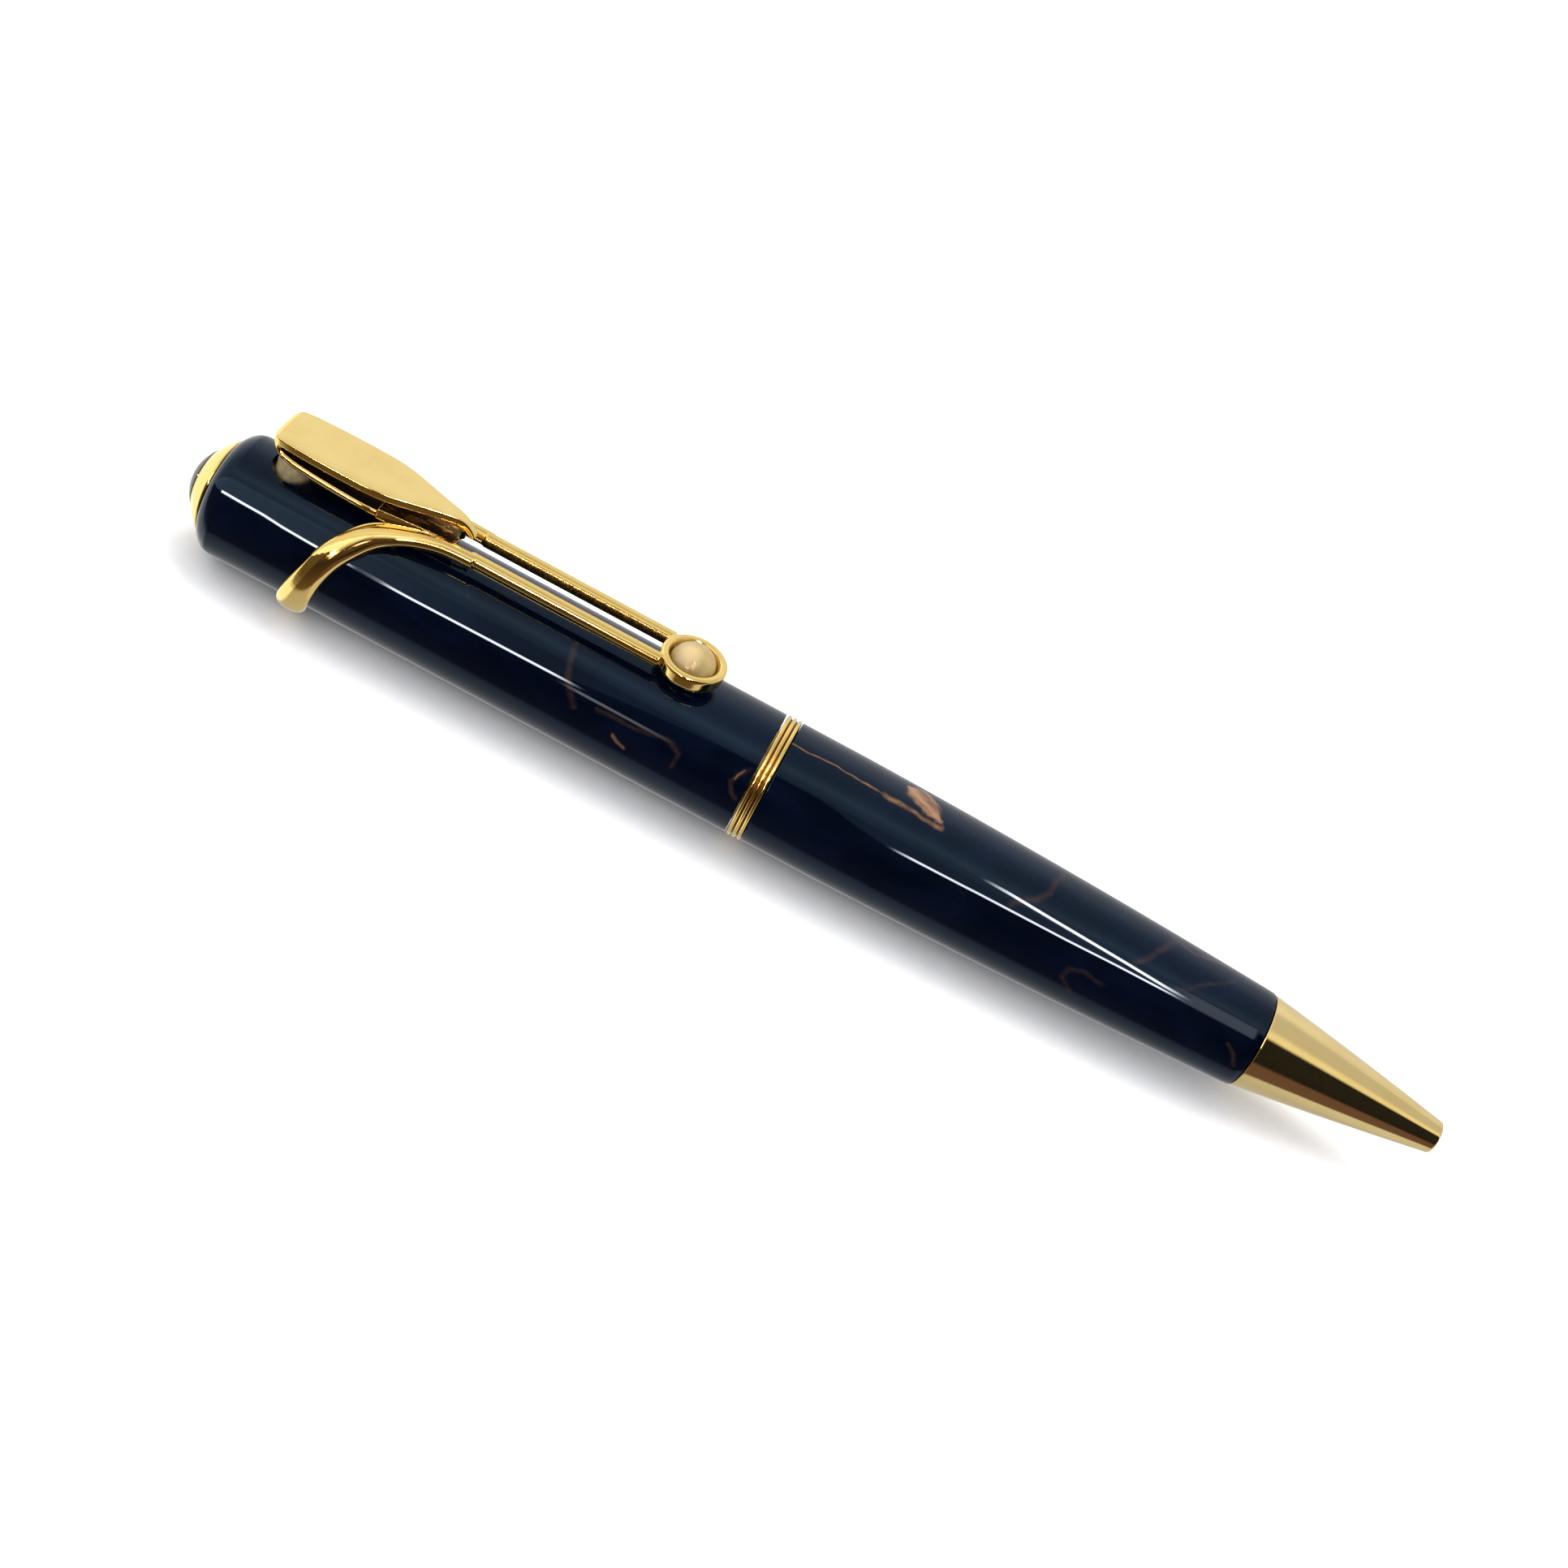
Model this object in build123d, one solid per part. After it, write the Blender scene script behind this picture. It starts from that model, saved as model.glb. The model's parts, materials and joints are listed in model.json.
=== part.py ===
"""Twist-action rollerball pen: resin barrel and cap, gilt nose, band, crown and clip, pearl on the clip.

Everything is modelled about the pen's own axis, which runs along X, with the crown at -X, the
writing tip at +X and the clip on the +Z side. X stations count from the middle of the centre band.
When a part is saved it moves to the shared frame: the middle of the pen's length at X = 0, and the
lowest point of the centre band, on which the pen lies, at Z = 0. All sizes are millimetres.
"""

import math
import os

from build123d import *

# Overall stations along the pen
X_CROWN = -63.4          # top of the crown's cabochon
X_NOSE_END = 74.5        # rim of the nose
X_JOINT = 54.1           # where the barrel meets the nose
X_CAP_END_FACE = -60.3   # flat face of the cap under the crown ring

# Outer radii
R_PEN = 6.5              # cap and upper barrel
R_BAND = 6.58            # crests of the centre band
R_BARREL_MID = 6.03      # barrel halfway down its taper
R_BARREL_FRONT = 5.05
R_NOSE_BACK = 4.93
R_NOSE_END = 1.67

# Centre band
BAND_HALF = 0.83
BAND_GROOVE_DEPTH = 0.26
BAND_GAP = 0.22          # line of shadow between the band and the turning cap

# Cap
CAP_CORNER = 2.0
R_CAP_BORE = 5.2
X_CAP_BORE_END = -57.3
R_LINER = 5.17
R_LINER_BORE = 4.75
X_LINER = (-49.0, -1.3)

# Crown
R_RING = 5.0
R_CABOCHON = 3.0
X_CABOCHON_SEAT = -61.6
X_CABOCHON_EDGE = -62.27
R_CROWN_SCREW = 1.2
R_CROWN_HEAD = 2.2

# Clip
X_LEAF_HEAD = -56.2
X_LEAF_TIP = -35.0
Z_LEAF = 10.9            # outer face of the leaf, from the pen's axis
SHEET = 0.85             # thickness of leaf and strip
HALF_LEAF = 3.15
X_STRIP_END = -44.25
Z_STRIP_END = 7.9        # underside of the folded-under strip where it meets the web
Z_WEB = 8.95             # top of the web
X_RAIL_ROOT = -34.15
RAIL_SEAM = 0.05
Z_RAIL = 9.0
RAIL_THICK = 1.43
RAIL_WIDE = 1.47
Y_RAIL = 1.93
X_BEZEL = -11.15
R_BEZEL = 3.38
Z_BEZEL = 9.1            # rim of the cup
R_SEAT = 2.58
Z_SEAT = 7.6
R_PEARL = 2.45
Z_PEARL = 7.85
X_POST = -53.84
R_POST = 1.85
R_RIVET = 0.9            # end of the post, riveted through the strip
POST_CLEARANCE = 0.42

# Twist mechanism
TWIST_DEGREES = 180
REFILL_TRAVEL = 5.0
R_SLEEVE = 4.6
R_SLEEVE_BORE = 3.5
X_SLEEVE = (-44.0, 12.0)
R_ROTOR = 3.42
R_ROTOR_BORE = 2.62
X_ROTOR = (-44.3, -27.0)
X_ROTOR_FLANGE = -47.2
R_PLUNGER = 2.55
X_PIN = -36.0
R_PIN = 0.5
PIN_CLEARANCE = 0.06
X_FRICTION_RING = -6.0

# Refill
R_REFILL = 3.0
X_REFILL_BACK = -24.6
X_REFILL_SHOULDER = 55.4
R_NECK = 1.5
X_NECK_FRONT = 61.6
R_TIP = 1.15
X_TIP_FRONT = 73.3
R_BALL = 0.35
SOCKET_CLEARANCE = 0.02

# Spring
SPRING_WIRE = 0.35
R_SPRING = 1.9
SPRING_TURNS = 6
X_SPRING_SEAT = 67.0

MIDDLE_X = (X_CROWN + X_NOSE_END) / 2
TO_SHARED_FRAME = Pos(-MIDDLE_X, 0, R_BAND)


def turned(outline):
    """Solid of revolution about the pen's axis from a closed outline of (x, radius) corners."""
    face = Plane.XZ * make_face(Polyline(*outline, close=True))
    return revolve(face, Axis.X)


def turned_lines(*lines):
    """Solid of revolution about the pen's axis from joined lines and arcs in (x, radius)."""
    face = Plane.XZ * make_face(Curve() + list(lines))
    return revolve(face, Axis.X)


def tube(x_from, x_to, r_out, r_in):
    return turned([(x_from, r_in), (x_to, r_in), (x_to, r_out), (x_from, r_out)])


def rod(x_from, x_to, radius):
    return turned([(x_from, 0), (x_to, 0), (x_to, radius), (x_from, radius)])


def upright(x, z_from, z_to, radius):
    """Cylinder that stands on the clip side, parallel to Z."""
    return Pos(x, 0, (z_from + z_to) / 2) * Cylinder(radius, z_to - z_from)


def cap_shell():
    x_mouth = -BAND_HALF - BAND_GAP
    lip = 0.12
    corner_x = X_CAP_END_FACE + CAP_CORNER
    corner_r = R_PEN - CAP_CORNER
    arc_middle = (
        corner_x - CAP_CORNER * math.cos(math.pi / 4),
        corner_r + CAP_CORNER * math.sin(math.pi / 4),
    )
    shell = turned_lines(
        Polyline((X_CAP_END_FACE, R_CROWN_SCREW + 0.05), (X_CAP_END_FACE, corner_r)),
        ThreePointArc((X_CAP_END_FACE, corner_r), arc_middle, (corner_x, R_PEN)),
        Polyline(
            (corner_x, R_PEN),
            (x_mouth - lip, R_PEN),
            (x_mouth, R_PEN - lip),
            (x_mouth, R_CAP_BORE),
            (X_CAP_BORE_END, R_CAP_BORE),
            (X_CAP_BORE_END, R_CROWN_SCREW + 0.05),
            (X_CAP_END_FACE, R_CROWN_SCREW + 0.05),
        ),
    )
    return shell - upright(X_POST, 0, R_PEN + 1, R_POST + POST_CLEARANCE)


def cap_liner():
    """Brass sleeve pressed into the cap; the mechanism turns inside it."""
    return tube(X_LINER[0], X_LINER[1], R_LINER, R_LINER_BORE)


def crown_ring():
    x_edge = X_CAP_END_FACE - 0.2
    lip_outer = R_CABOCHON + 0.22
    x_lip = -62.0
    ring = turned_lines(
        Polyline((X_CAP_END_FACE, 0), (X_CAP_END_FACE, R_RING), (x_edge, R_RING)),
        ThreePointArc((x_edge, R_RING), (-61.35, 4.15), (x_lip, lip_outer)),
        Polyline(
            (x_lip, lip_outer),
            (x_lip - 0.12, lip_outer - 0.08),
            (x_lip - 0.12, R_CABOCHON + 0.03),
            (X_CABOCHON_SEAT, R_CABOCHON + 0.03),
            (X_CABOCHON_SEAT, 0),
            (X_CAP_END_FACE, 0),
        ),
    )
    return ring - rod(X_CAP_END_FACE - 0.9, X_CAP_END_FACE + 1, R_CROWN_SCREW + 0.02)


def crown_cabochon():
    """Domed stone: a short cylinder under a spherical cap."""
    rise = X_CABOCHON_EDGE - X_CROWN
    dome_radius = (R_CABOCHON**2 + rise**2) / (2 * rise)
    half_angle = math.asin(R_CABOCHON / dome_radius) / 2
    centre = X_CROWN + dome_radius
    arc_middle = (
        centre - dome_radius * math.cos(half_angle),
        dome_radius * math.sin(half_angle),
    )
    return turned_lines(
        ThreePointArc((X_CROWN, 0), arc_middle, (X_CABOCHON_EDGE, R_CABOCHON)),
        Polyline(
            (X_CABOCHON_EDGE, R_CABOCHON),
            (X_CABOCHON_SEAT, R_CABOCHON),
            (X_CABOCHON_SEAT, 0),
            (X_CROWN, 0),
        ),
    )


def crown_screw():
    """Screw through the cap's end wall into the crown ring, with its head inside the cap."""
    shank = rod(X_CAP_END_FACE - 0.88, X_CAP_BORE_END, R_CROWN_SCREW)
    head = rod(X_CAP_BORE_END, X_CAP_BORE_END + 1.4, R_CROWN_HEAD)
    slot = Pos(X_CAP_BORE_END + 1.3, 0, 0) * Box(0.8, 2 * R_CROWN_HEAD, 0.6)
    return shank + head - slot


def leaf_plan():
    """Outline of the leaf seen from above: bowed head, nearly straight sides, long drawn-out point."""
    edge = Spline(
        (X_LEAF_HEAD, 0),
        (-56.0, 1.7),
        (-55.3, 2.6),
        (-53.5, 2.98),
        (-48.4, HALF_LEAF),
        (-45.5, 3.07),
        (-43.6, 2.78),
        (-42.0, 2.3),
        (-40.4, 1.74),
        (-38.7, 1.18),
        (-37.2, 0.75),
        (X_LEAF_TIP, 0.4),
        tangents=[(0, 1), (1, -0.1)],
    )
    end = Polyline((X_LEAF_TIP, 0.4), (X_LEAF_TIP, 0), (X_LEAF_HEAD, 0))
    half = extrude(make_face(Curve() + [edge, end]), 20)
    return half + mirror(half, Plane.XZ)


def strip_underside():
    """Line of the underside from the web to the head, in (x, z): nearly level, then up round the fold."""
    return Spline(
        (X_STRIP_END, Z_STRIP_END),
        (-49.0, 8.15),
        (-53.0, 8.4),
        (-54.5, 8.72),
        (-55.33, 9.23),
        (X_LEAF_HEAD + 0.1, 10.4),
        tangents=[(-1, 0.04), (-0.25, 1)],
    )


def clip_leaf():
    """One sheet: a leaf above, rolled over at the head and folded back under as a strip."""
    z_inside = Z_LEAF - SHEET
    outline = Curve() + [
        strip_underside(),
        ThreePointArc(
            (X_LEAF_HEAD + 0.1, 10.4), (X_LEAF_HEAD + 0.14, Z_LEAF - 0.15), (X_LEAF_HEAD + 0.45, Z_LEAF)
        ),
        Line((X_LEAF_HEAD + 0.45, Z_LEAF), (-37.6, Z_LEAF)),
        ThreePointArc((-37.6, Z_LEAF), (-36.3, 10.65), (X_LEAF_TIP, 9.4)),
        Line((X_LEAF_TIP, 9.4), (-35.5, 9.05)),
        ThreePointArc((-35.5, 9.05), (-36.5, 9.85), (-37.7, z_inside)),
        Line((-37.7, z_inside), (-54.6, z_inside)),
        ThreePointArc((-54.6, z_inside), (-54.85, 9.84), (-54.6, 9.62)),
        Spline((-54.6, 9.62), (-52.5, 9.23), (-49.0, 9.0), (X_STRIP_END, Z_STRIP_END + SHEET)),
        Line((X_STRIP_END, Z_STRIP_END + SHEET), (X_STRIP_END, Z_STRIP_END)),
    ]
    sheet = extrude(Plane.XZ * make_face(outline), HALF_LEAF + 1, both=True)
    rivet_hole = upright(X_POST, 8, 9.95, R_RIVET + 0.02)
    return (sheet & leaf_plan()) - rivet_hole


# Stations of one clip arm, from the rail round the cap to its tip:
# (x, degrees round from the top, radius of the underside, width, thickness, edge rounding)
ARM_STATIONS = [
    (-34.2, 14.3, 7.81, 1.47, 1.43, 0.28),
    (-37.0, 15.2, 7.80, 1.56, 1.43, 0.30),
    (-39.6, 17.8, 7.55, 1.90, 1.42, 0.34),
    (-41.8, 22.0, 7.15, 2.35, 1.40, 0.40),
    (-43.6, 29.5, 6.85, 2.70, 1.38, 0.45),
    (-44.9, 41.0, 6.72, 2.80, 1.30, 0.48),
    (-46.3, 59.0, 6.68, 2.75, 1.24, 0.48),
    (-47.3, 80.0, 6.66, 2.70, 1.20, 0.48),
    (-48.1, 102.0, 6.66, 3.00, 1.16, 0.48),
    (-48.55, 118.0, 6.66, 3.20, 1.12, 0.48),
    (-48.85, 130.0, 6.66, 3.20, 1.06, 0.48),
    (-48.95, 138.0, 6.67, 3.00, 0.94, 0.44),
    (-49.0, 143.0, 6.70, 2.50, 0.76, 0.36),
    (-49.03, 147.0, 6.74, 1.80, 0.54, 0.26),
    (-49.05, 149.5, 6.80, 1.00, 0.34, 0.16),
]
END_STATION = 10         # the arm's thumb-like end starts here


def arm_point(station, side):
    x, degrees, radius = station[:3]
    angle = math.radians(degrees)
    return Vector(x, side * radius * math.sin(angle), radius * math.cos(angle))


def clip_arm(side):
    """Arm that grips the cap: rounded sections lofted along a path that winds round it."""
    points = [arm_point(station, side) for station in ARM_STATIONS]
    sections = []
    for i, station in enumerate(ARM_STATIONS):
        behind = points[max(i - 1, 0)]
        ahead = points[min(i + 1, len(points) - 1)]
        along = (ahead - behind).normalized()
        outward = Vector(0, points[i].Y, points[i].Z).normalized()
        across = outward.cross(along).normalized()
        up = along.cross(across)
        width, thick, rounding = station[3:]
        middle = points[i] + up * (thick / 2)
        plane = Plane(origin=middle, x_dir=across, z_dir=along)
        sections.append(plane * RectangleRounded(width, thick, rounding))
    sweeping = loft(sections[:END_STATION + 1])
    rounded_end = loft(sections[END_STATION:], ruled=True)
    return sweeping + rounded_end


def clip_web():
    """Plate between the arms, under the leaf, which ends where the rails part."""
    x_back = X_STRIP_END + 0.03
    z_under = 7.75
    outline = Polyline(
        (x_back, 2.75),
        (-42.4, 2.55),
        (-39.5, 2.2),
        (-36.4, 1.9),
        (-36.2, 0.9),
        (-36.7, 0),
        (x_back, 0),
        close=True,
    )
    plate = extrude(make_face(outline), Z_WEB - z_under)
    plate = plate + mirror(plate, Plane.XZ)
    return Pos(0, 0, z_under) * plate


def clip_frame():
    return clip_web() + clip_arm(1) + clip_arm(-1)


def bezel():
    """Cup for the pearl, turned about its own upright axis, with a domed underside."""
    edge = 0.25
    half = make_face(
        Curve()
        + [
            ThreePointArc((0, 6.85), (1.6, 6.98), (3.0, 7.38)),
            ThreePointArc((3.0, 7.38), (3.27, 7.55), (R_BEZEL, 7.85)),
            Line((R_BEZEL, 7.85), (R_BEZEL, Z_BEZEL - edge)),
            ThreePointArc(
                (R_BEZEL, Z_BEZEL - edge),
                (R_BEZEL - edge * 0.293, Z_BEZEL - edge * 0.293),
                (R_BEZEL - edge, Z_BEZEL),
            ),
            Polyline(
                (R_BEZEL - edge, Z_BEZEL),
                (R_SEAT + 0.1, Z_BEZEL),
                (R_SEAT, Z_BEZEL - 0.1),
                (R_SEAT, Z_SEAT),
                (0, Z_SEAT),
                (0, 6.85),
            ),
        ]
    )
    return Pos(X_BEZEL, 0, 0) * revolve(Plane.XZ * half, Axis.Z)


def rail(side):
    x_from = X_RAIL_ROOT + RAIL_SEAM
    x_to = X_BEZEL - R_SEAT + 0.1
    bar = Box(x_to - x_from, RAIL_WIDE, RAIL_THICK)
    top = bar.edges().filter_by(Axis.X).group_by(Axis.Z)[-1]
    bar = fillet(top, 0.28)
    bottom = bar.edges().filter_by(Axis.X).group_by(Axis.Z)[0]
    bar = fillet(bottom, 0.25)
    return Pos((x_from + x_to) / 2, side * Y_RAIL, Z_RAIL - RAIL_THICK / 2) * bar


def clip_rails():
    """The two rails that spring away from the cap, and the cup at their end."""
    seat_room = Pos(X_BEZEL, 0, Z_SEAT + 2) * Cylinder(R_SEAT, 4)
    return (rail(1) + rail(-1) - seat_room) + bezel()


def clip_pearl():
    ball = Pos(X_BEZEL, 0, Z_PEARL) * Sphere(R_PEARL)
    above_seat = Pos(X_BEZEL, 0, Z_SEAT + 5.02) * Box(20, 20, 10)
    return ball & above_seat


def clip_post():
    """Post from the strip into the cap: riveted above, stepped down below to a threaded end."""
    body = upright(X_POST, R_CAP_BORE - 0.1, 9.4, R_POST)
    above_strip = Polyline(
        (X_LEAF_HEAD + 0.1, 10.4), (X_LEAF_HEAD + 0.1, 12), (X_STRIP_END, 12), (X_STRIP_END, Z_STRIP_END)
    )
    above = make_face(Curve() + [strip_underside(), above_strip])
    body = body - extrude(Plane.XZ * above, 10, both=True)
    rivet = upright(X_POST, 8, 9.8, R_RIVET)
    end = upright(X_POST, 2.6, R_CAP_BORE, 1.0)
    return body + rivet + end


def clip_nut():
    """Saddle nut against the inside of the cap."""
    block = upright(X_POST, 3.3, R_CAP_BORE, 2.7) - upright(X_POST, 2, 7, 1.03)
    block = block & rod(X_POST - 4, X_POST + 4, R_CAP_BORE - 0.04)
    return block - upright(X_POST, R_CAP_BORE - 0.13, 7, R_POST + 0.05)


def centre_band():
    """Ring with three round crests and two grooves between them."""
    crest = 2 * BAND_HALF / 3
    core = tube(-BAND_HALF, BAND_HALF, R_BAND - BAND_GROOVE_DEPTH, R_SLEEVE + 0.02)
    for i in (-1, 0, 1):
        x = i * crest
        side = crest / 2 - 0.07
        hoop = turned_lines(
            ThreePointArc(
                (x - side, R_BAND - BAND_GROOVE_DEPTH), (x, R_BAND), (x + side, R_BAND - BAND_GROOVE_DEPTH)
            ),
            Polyline(
                (x + side, R_BAND - BAND_GROOVE_DEPTH),
                (x + side, R_BAND - 0.6),
                (x - side, R_BAND - 0.6),
                (x - side, R_BAND - BAND_GROOVE_DEPTH),
            ),
        )
        core = core + hoop
    return core


def barrel_shell():
    x_top = BAND_HALF + 0.02
    x_cylinder = 8.0
    x_mid = 31.0
    x_front = X_JOINT - 0.1
    edge = 0.15
    return turned_lines(
        Polyline(
            (x_top, R_SLEEVE + 0.02),
            (x_top, R_PEN - 0.08),
            (x_top + 0.08, R_PEN),
            (x_cylinder, R_PEN),
        ),
        ThreePointArc(
            (x_cylinder, R_PEN), (x_mid, R_BARREL_MID), (x_front - edge, R_BARREL_FRONT)
        ),
        Polyline(
            (x_front - edge, R_BARREL_FRONT),
            (x_front, R_BARREL_FRONT - edge),
            (x_front, 4.2),
            (44.0, 4.2),
            (44.0, 3.8),
            (X_SLEEVE[1] + 0.1, 3.8),
            (X_SLEEVE[1] + 0.1, R_SLEEVE + 0.02),
            (x_top, R_SLEEVE + 0.02),
        ),
    )


def barrel_bush():
    """Threaded brass bush in the front of the barrel; the nose screws into it."""
    return tube(44.1, X_JOINT - 0.12, 4.18, 3.75)


def nose_cone():
    """Hollow gilt cone with a threaded spigot, a spring seat and the hole for the tip."""
    rim = 0.35
    x_spigot = 48.5
    lead_in = 0.15
    return turned_lines(
        Polyline(
            (x_spigot, R_REFILL + 0.2),
            (x_spigot, 3.7),
            (X_JOINT, 3.7),
            (X_JOINT, R_NOSE_BACK - lead_in),
            (X_JOINT + lead_in, R_NOSE_BACK),
            (X_NOSE_END - rim, R_NOSE_END + 0.05),
        ),
        ThreePointArc(
            (X_NOSE_END - rim, R_NOSE_END + 0.05),
            (X_NOSE_END - 0.1, R_NOSE_END - 0.1),
            (X_NOSE_END, R_NOSE_END - rim),
        ),
        Polyline(
            (X_NOSE_END, R_NOSE_END - rim),
            (X_NOSE_END, R_TIP + 0.1),
            (X_SPRING_SEAT, R_TIP + 0.1),
            (X_SPRING_SEAT, 2.2),
            (61.0, 2.2),
            (61.0, R_REFILL + 0.2),
            (x_spigot, R_REFILL + 0.2),
        ),
    )


def refill_spring():
    """Compression spring between the refill's shoulder and the seat in the nose."""
    start = X_REFILL_SHOULDER + 0.05 + SPRING_WIRE / 2
    finish = X_SPRING_SEAT - 0.05 - SPRING_WIRE / 2
    length = finish - start
    helix = Helix(length / SPRING_TURNS, length, R_SPRING)
    wire_end = Plane(origin=helix @ 0, z_dir=helix % 0)
    coil = sweep(wire_end * Circle(SPRING_WIRE / 2), helix)
    return Pos(start, 0, 0) * Rot(0, 90, 0) * coil


def twist_sleeve():
    """Fixed sleeve of the mechanism, pressed into the barrel, with a straight slot for the pin."""
    sleeve = tube(X_SLEEVE[0], X_SLEEVE[1], R_SLEEVE, R_SLEEVE_BORE)
    groove = tube(X_FRICTION_RING - 0.35, X_FRICTION_RING + 0.35, R_SLEEVE + 1, R_SLEEVE - 0.5)
    slot_wide = 2 * (R_PIN + PIN_CLEARANCE)
    slot_long = REFILL_TRAVEL + slot_wide
    slot = Pos(X_PIN + REFILL_TRAVEL / 2, R_SLEEVE, 0) * Box(slot_long, 3, slot_wide)
    return sleeve - groove - slot


def friction_ring():
    """Rubber ring that drags on the liner and holds the twist where it is put."""
    torus = Torus(R_SLEEVE - 0.17, 0.29)
    return Pos(X_FRICTION_RING, 0, 0) * Rot(0, 90, 0) * torus


def cam_rotor():
    """Turns with the cap; its helical slot drives the pin forward."""
    rotor = tube(X_ROTOR[0], X_ROTOR[1], R_ROTOR, R_ROTOR_BORE)
    flange = tube(X_ROTOR_FLANGE, X_ROTOR[0], R_LINER_BORE - 0.03, R_ROTOR_BORE)
    rotor = rotor + flange
    cutter = Pos(0, R_ROTOR, 0) * Rot(90, 0, 0) * Cylinder(R_PIN + PIN_CLEARANCE, 2.4)
    steps = 36
    for i in range(steps + 1):
        share = i / steps
        turn = Rot(-TWIST_DEGREES * share, 0, 0)
        rotor = rotor - Pos(X_PIN + REFILL_TRAVEL * share, 0, 0) * turn * cutter
    return rotor


def plunger():
    body = rod(X_PIN - 3, X_REFILL_BACK - 0.02, R_PLUNGER)
    return body - Pos(X_PIN, 0, 0) * Rot(90, 0, 0) * Cylinder(R_PIN + 0.01, 8)


def drive_pin():
    length = R_PLUNGER + R_SLEEVE - 0.35
    middle = (R_SLEEVE - 0.35 - R_PLUNGER) / 2
    return Pos(X_PIN, middle, 0) * Rot(90, 0, 0) * Cylinder(R_PIN, length)


def refill_tube():
    return tube(X_REFILL_BACK + 1.5, X_REFILL_SHOULDER, R_REFILL, R_REFILL - 0.25)


def refill_plug():
    cap = rod(X_REFILL_BACK, X_REFILL_BACK + 1.45, R_REFILL)
    return cap + rod(X_REFILL_BACK, X_REFILL_BACK + 4, R_REFILL - 0.28)


def refill_ink():
    """Ink-filled fibre core inside the refill's tube."""
    return rod(X_REFILL_BACK + 4.2, X_REFILL_SHOULDER - 4.2, R_REFILL - 0.3)


def refill_neck():
    """Plastic feed that plugs the tube's front and carries the tip."""
    plug = rod(X_REFILL_SHOULDER - 4, X_REFILL_SHOULDER, R_REFILL - 0.28)
    stem = rod(X_REFILL_SHOULDER, X_NECK_FRONT, R_NECK)
    hole = rod(X_NECK_FRONT - 2, X_NECK_FRONT + 1, 0.82)
    return plug + stem - hole


def refill_tip():
    cone = 1.6
    tail = rod(X_NECK_FRONT - 1.9, X_NECK_FRONT + 0.02, 0.8)
    tip = turned(
        [
            (X_NECK_FRONT + 0.02, 0),
            (X_NECK_FRONT + 0.02, R_TIP),
            (X_TIP_FRONT - cone, R_TIP),
            (X_TIP_FRONT, R_BALL + 0.06),
            (X_TIP_FRONT, 0),
        ]
    )
    ball_x = X_TIP_FRONT - 0.08
    socket = Pos(ball_x, 0, 0) * Sphere(R_BALL + SOCKET_CLEARANCE)
    mouth = rod(ball_x, X_TIP_FRONT + 1, R_BALL + 0.015)
    return tail + tip - socket - mouth


def writing_ball():
    return Pos(X_TIP_FRONT - 0.08, 0, 0) * Sphere(R_BALL)


PARTS = [
    cap_shell,
    cap_liner,
    crown_ring,
    crown_cabochon,
    crown_screw,
    clip_leaf,
    clip_frame,
    clip_post,
    clip_nut,
    clip_rails,
    clip_pearl,
    cam_rotor,
    centre_band,
    barrel_shell,
    barrel_bush,
    nose_cone,
    twist_sleeve,
    friction_ring,
    refill_spring,
    plunger,
    drive_pin,
    refill_tube,
    refill_plug,
    refill_ink,
    refill_neck,
    refill_tip,
    writing_ball,
]


def main():
    os.makedirs("parts", exist_ok=True)
    for build in PARTS:
        solid = TO_SHARED_FRAME * build()
        export_step(solid, f"parts/{build.__name__}.step")


main()
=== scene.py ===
"""Studio picture of the twist-action rollerball pen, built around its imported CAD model.

The pen lies along X with its clip up (+Z). Lengths written here are millimetres and are turned into
metres by MM; stations along the pen come from the boxes of the CAD nodes.
"""

import json
import math

import bmesh
import bpy
import numpy as np
from mathutils import Matrix, Vector


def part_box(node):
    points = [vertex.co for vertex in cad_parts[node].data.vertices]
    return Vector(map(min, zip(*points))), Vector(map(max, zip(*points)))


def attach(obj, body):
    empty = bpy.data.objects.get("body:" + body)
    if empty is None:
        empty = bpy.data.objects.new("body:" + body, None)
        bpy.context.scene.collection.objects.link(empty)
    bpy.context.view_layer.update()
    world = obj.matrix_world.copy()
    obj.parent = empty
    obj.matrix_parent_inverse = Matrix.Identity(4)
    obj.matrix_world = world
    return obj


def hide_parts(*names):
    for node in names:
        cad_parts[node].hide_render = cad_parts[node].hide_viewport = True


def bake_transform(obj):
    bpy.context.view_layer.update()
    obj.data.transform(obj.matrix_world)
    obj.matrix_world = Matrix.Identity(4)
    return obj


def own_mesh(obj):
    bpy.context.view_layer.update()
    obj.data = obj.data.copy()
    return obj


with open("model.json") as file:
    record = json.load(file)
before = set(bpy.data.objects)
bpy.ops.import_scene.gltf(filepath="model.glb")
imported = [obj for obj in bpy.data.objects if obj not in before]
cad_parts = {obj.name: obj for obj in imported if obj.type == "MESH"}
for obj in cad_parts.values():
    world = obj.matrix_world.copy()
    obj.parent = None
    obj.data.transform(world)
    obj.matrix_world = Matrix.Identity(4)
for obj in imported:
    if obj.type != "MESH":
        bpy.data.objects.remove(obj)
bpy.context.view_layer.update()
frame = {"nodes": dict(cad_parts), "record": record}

MM = 0.001
SEGMENTS = 256
VIEW_ELEVATION = math.radians(40.0)   # of the camera above the floor, from the -Y side

cap_low, cap_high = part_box("cap_shell")
AXIS_Z = (cap_low.z + cap_high.z) / 2
R_PEN = (cap_high.z - cap_low.z) / 2
BAND_LOW, BAND_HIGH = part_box("centre_band")
BAND_X = (BAND_LOW.x + BAND_HIGH.x) / 2
AXIS_MM = AXIS_Z / MM
BAND_MM = BAND_X / MM


def at(x, y=0.0, z=0.0):
    """Point in metres from millimetres along the pen from the band, sideways, and up from the axis."""
    return Vector((BAND_X + x * MM, y * MM, AXIS_Z + z * MM))


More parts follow.
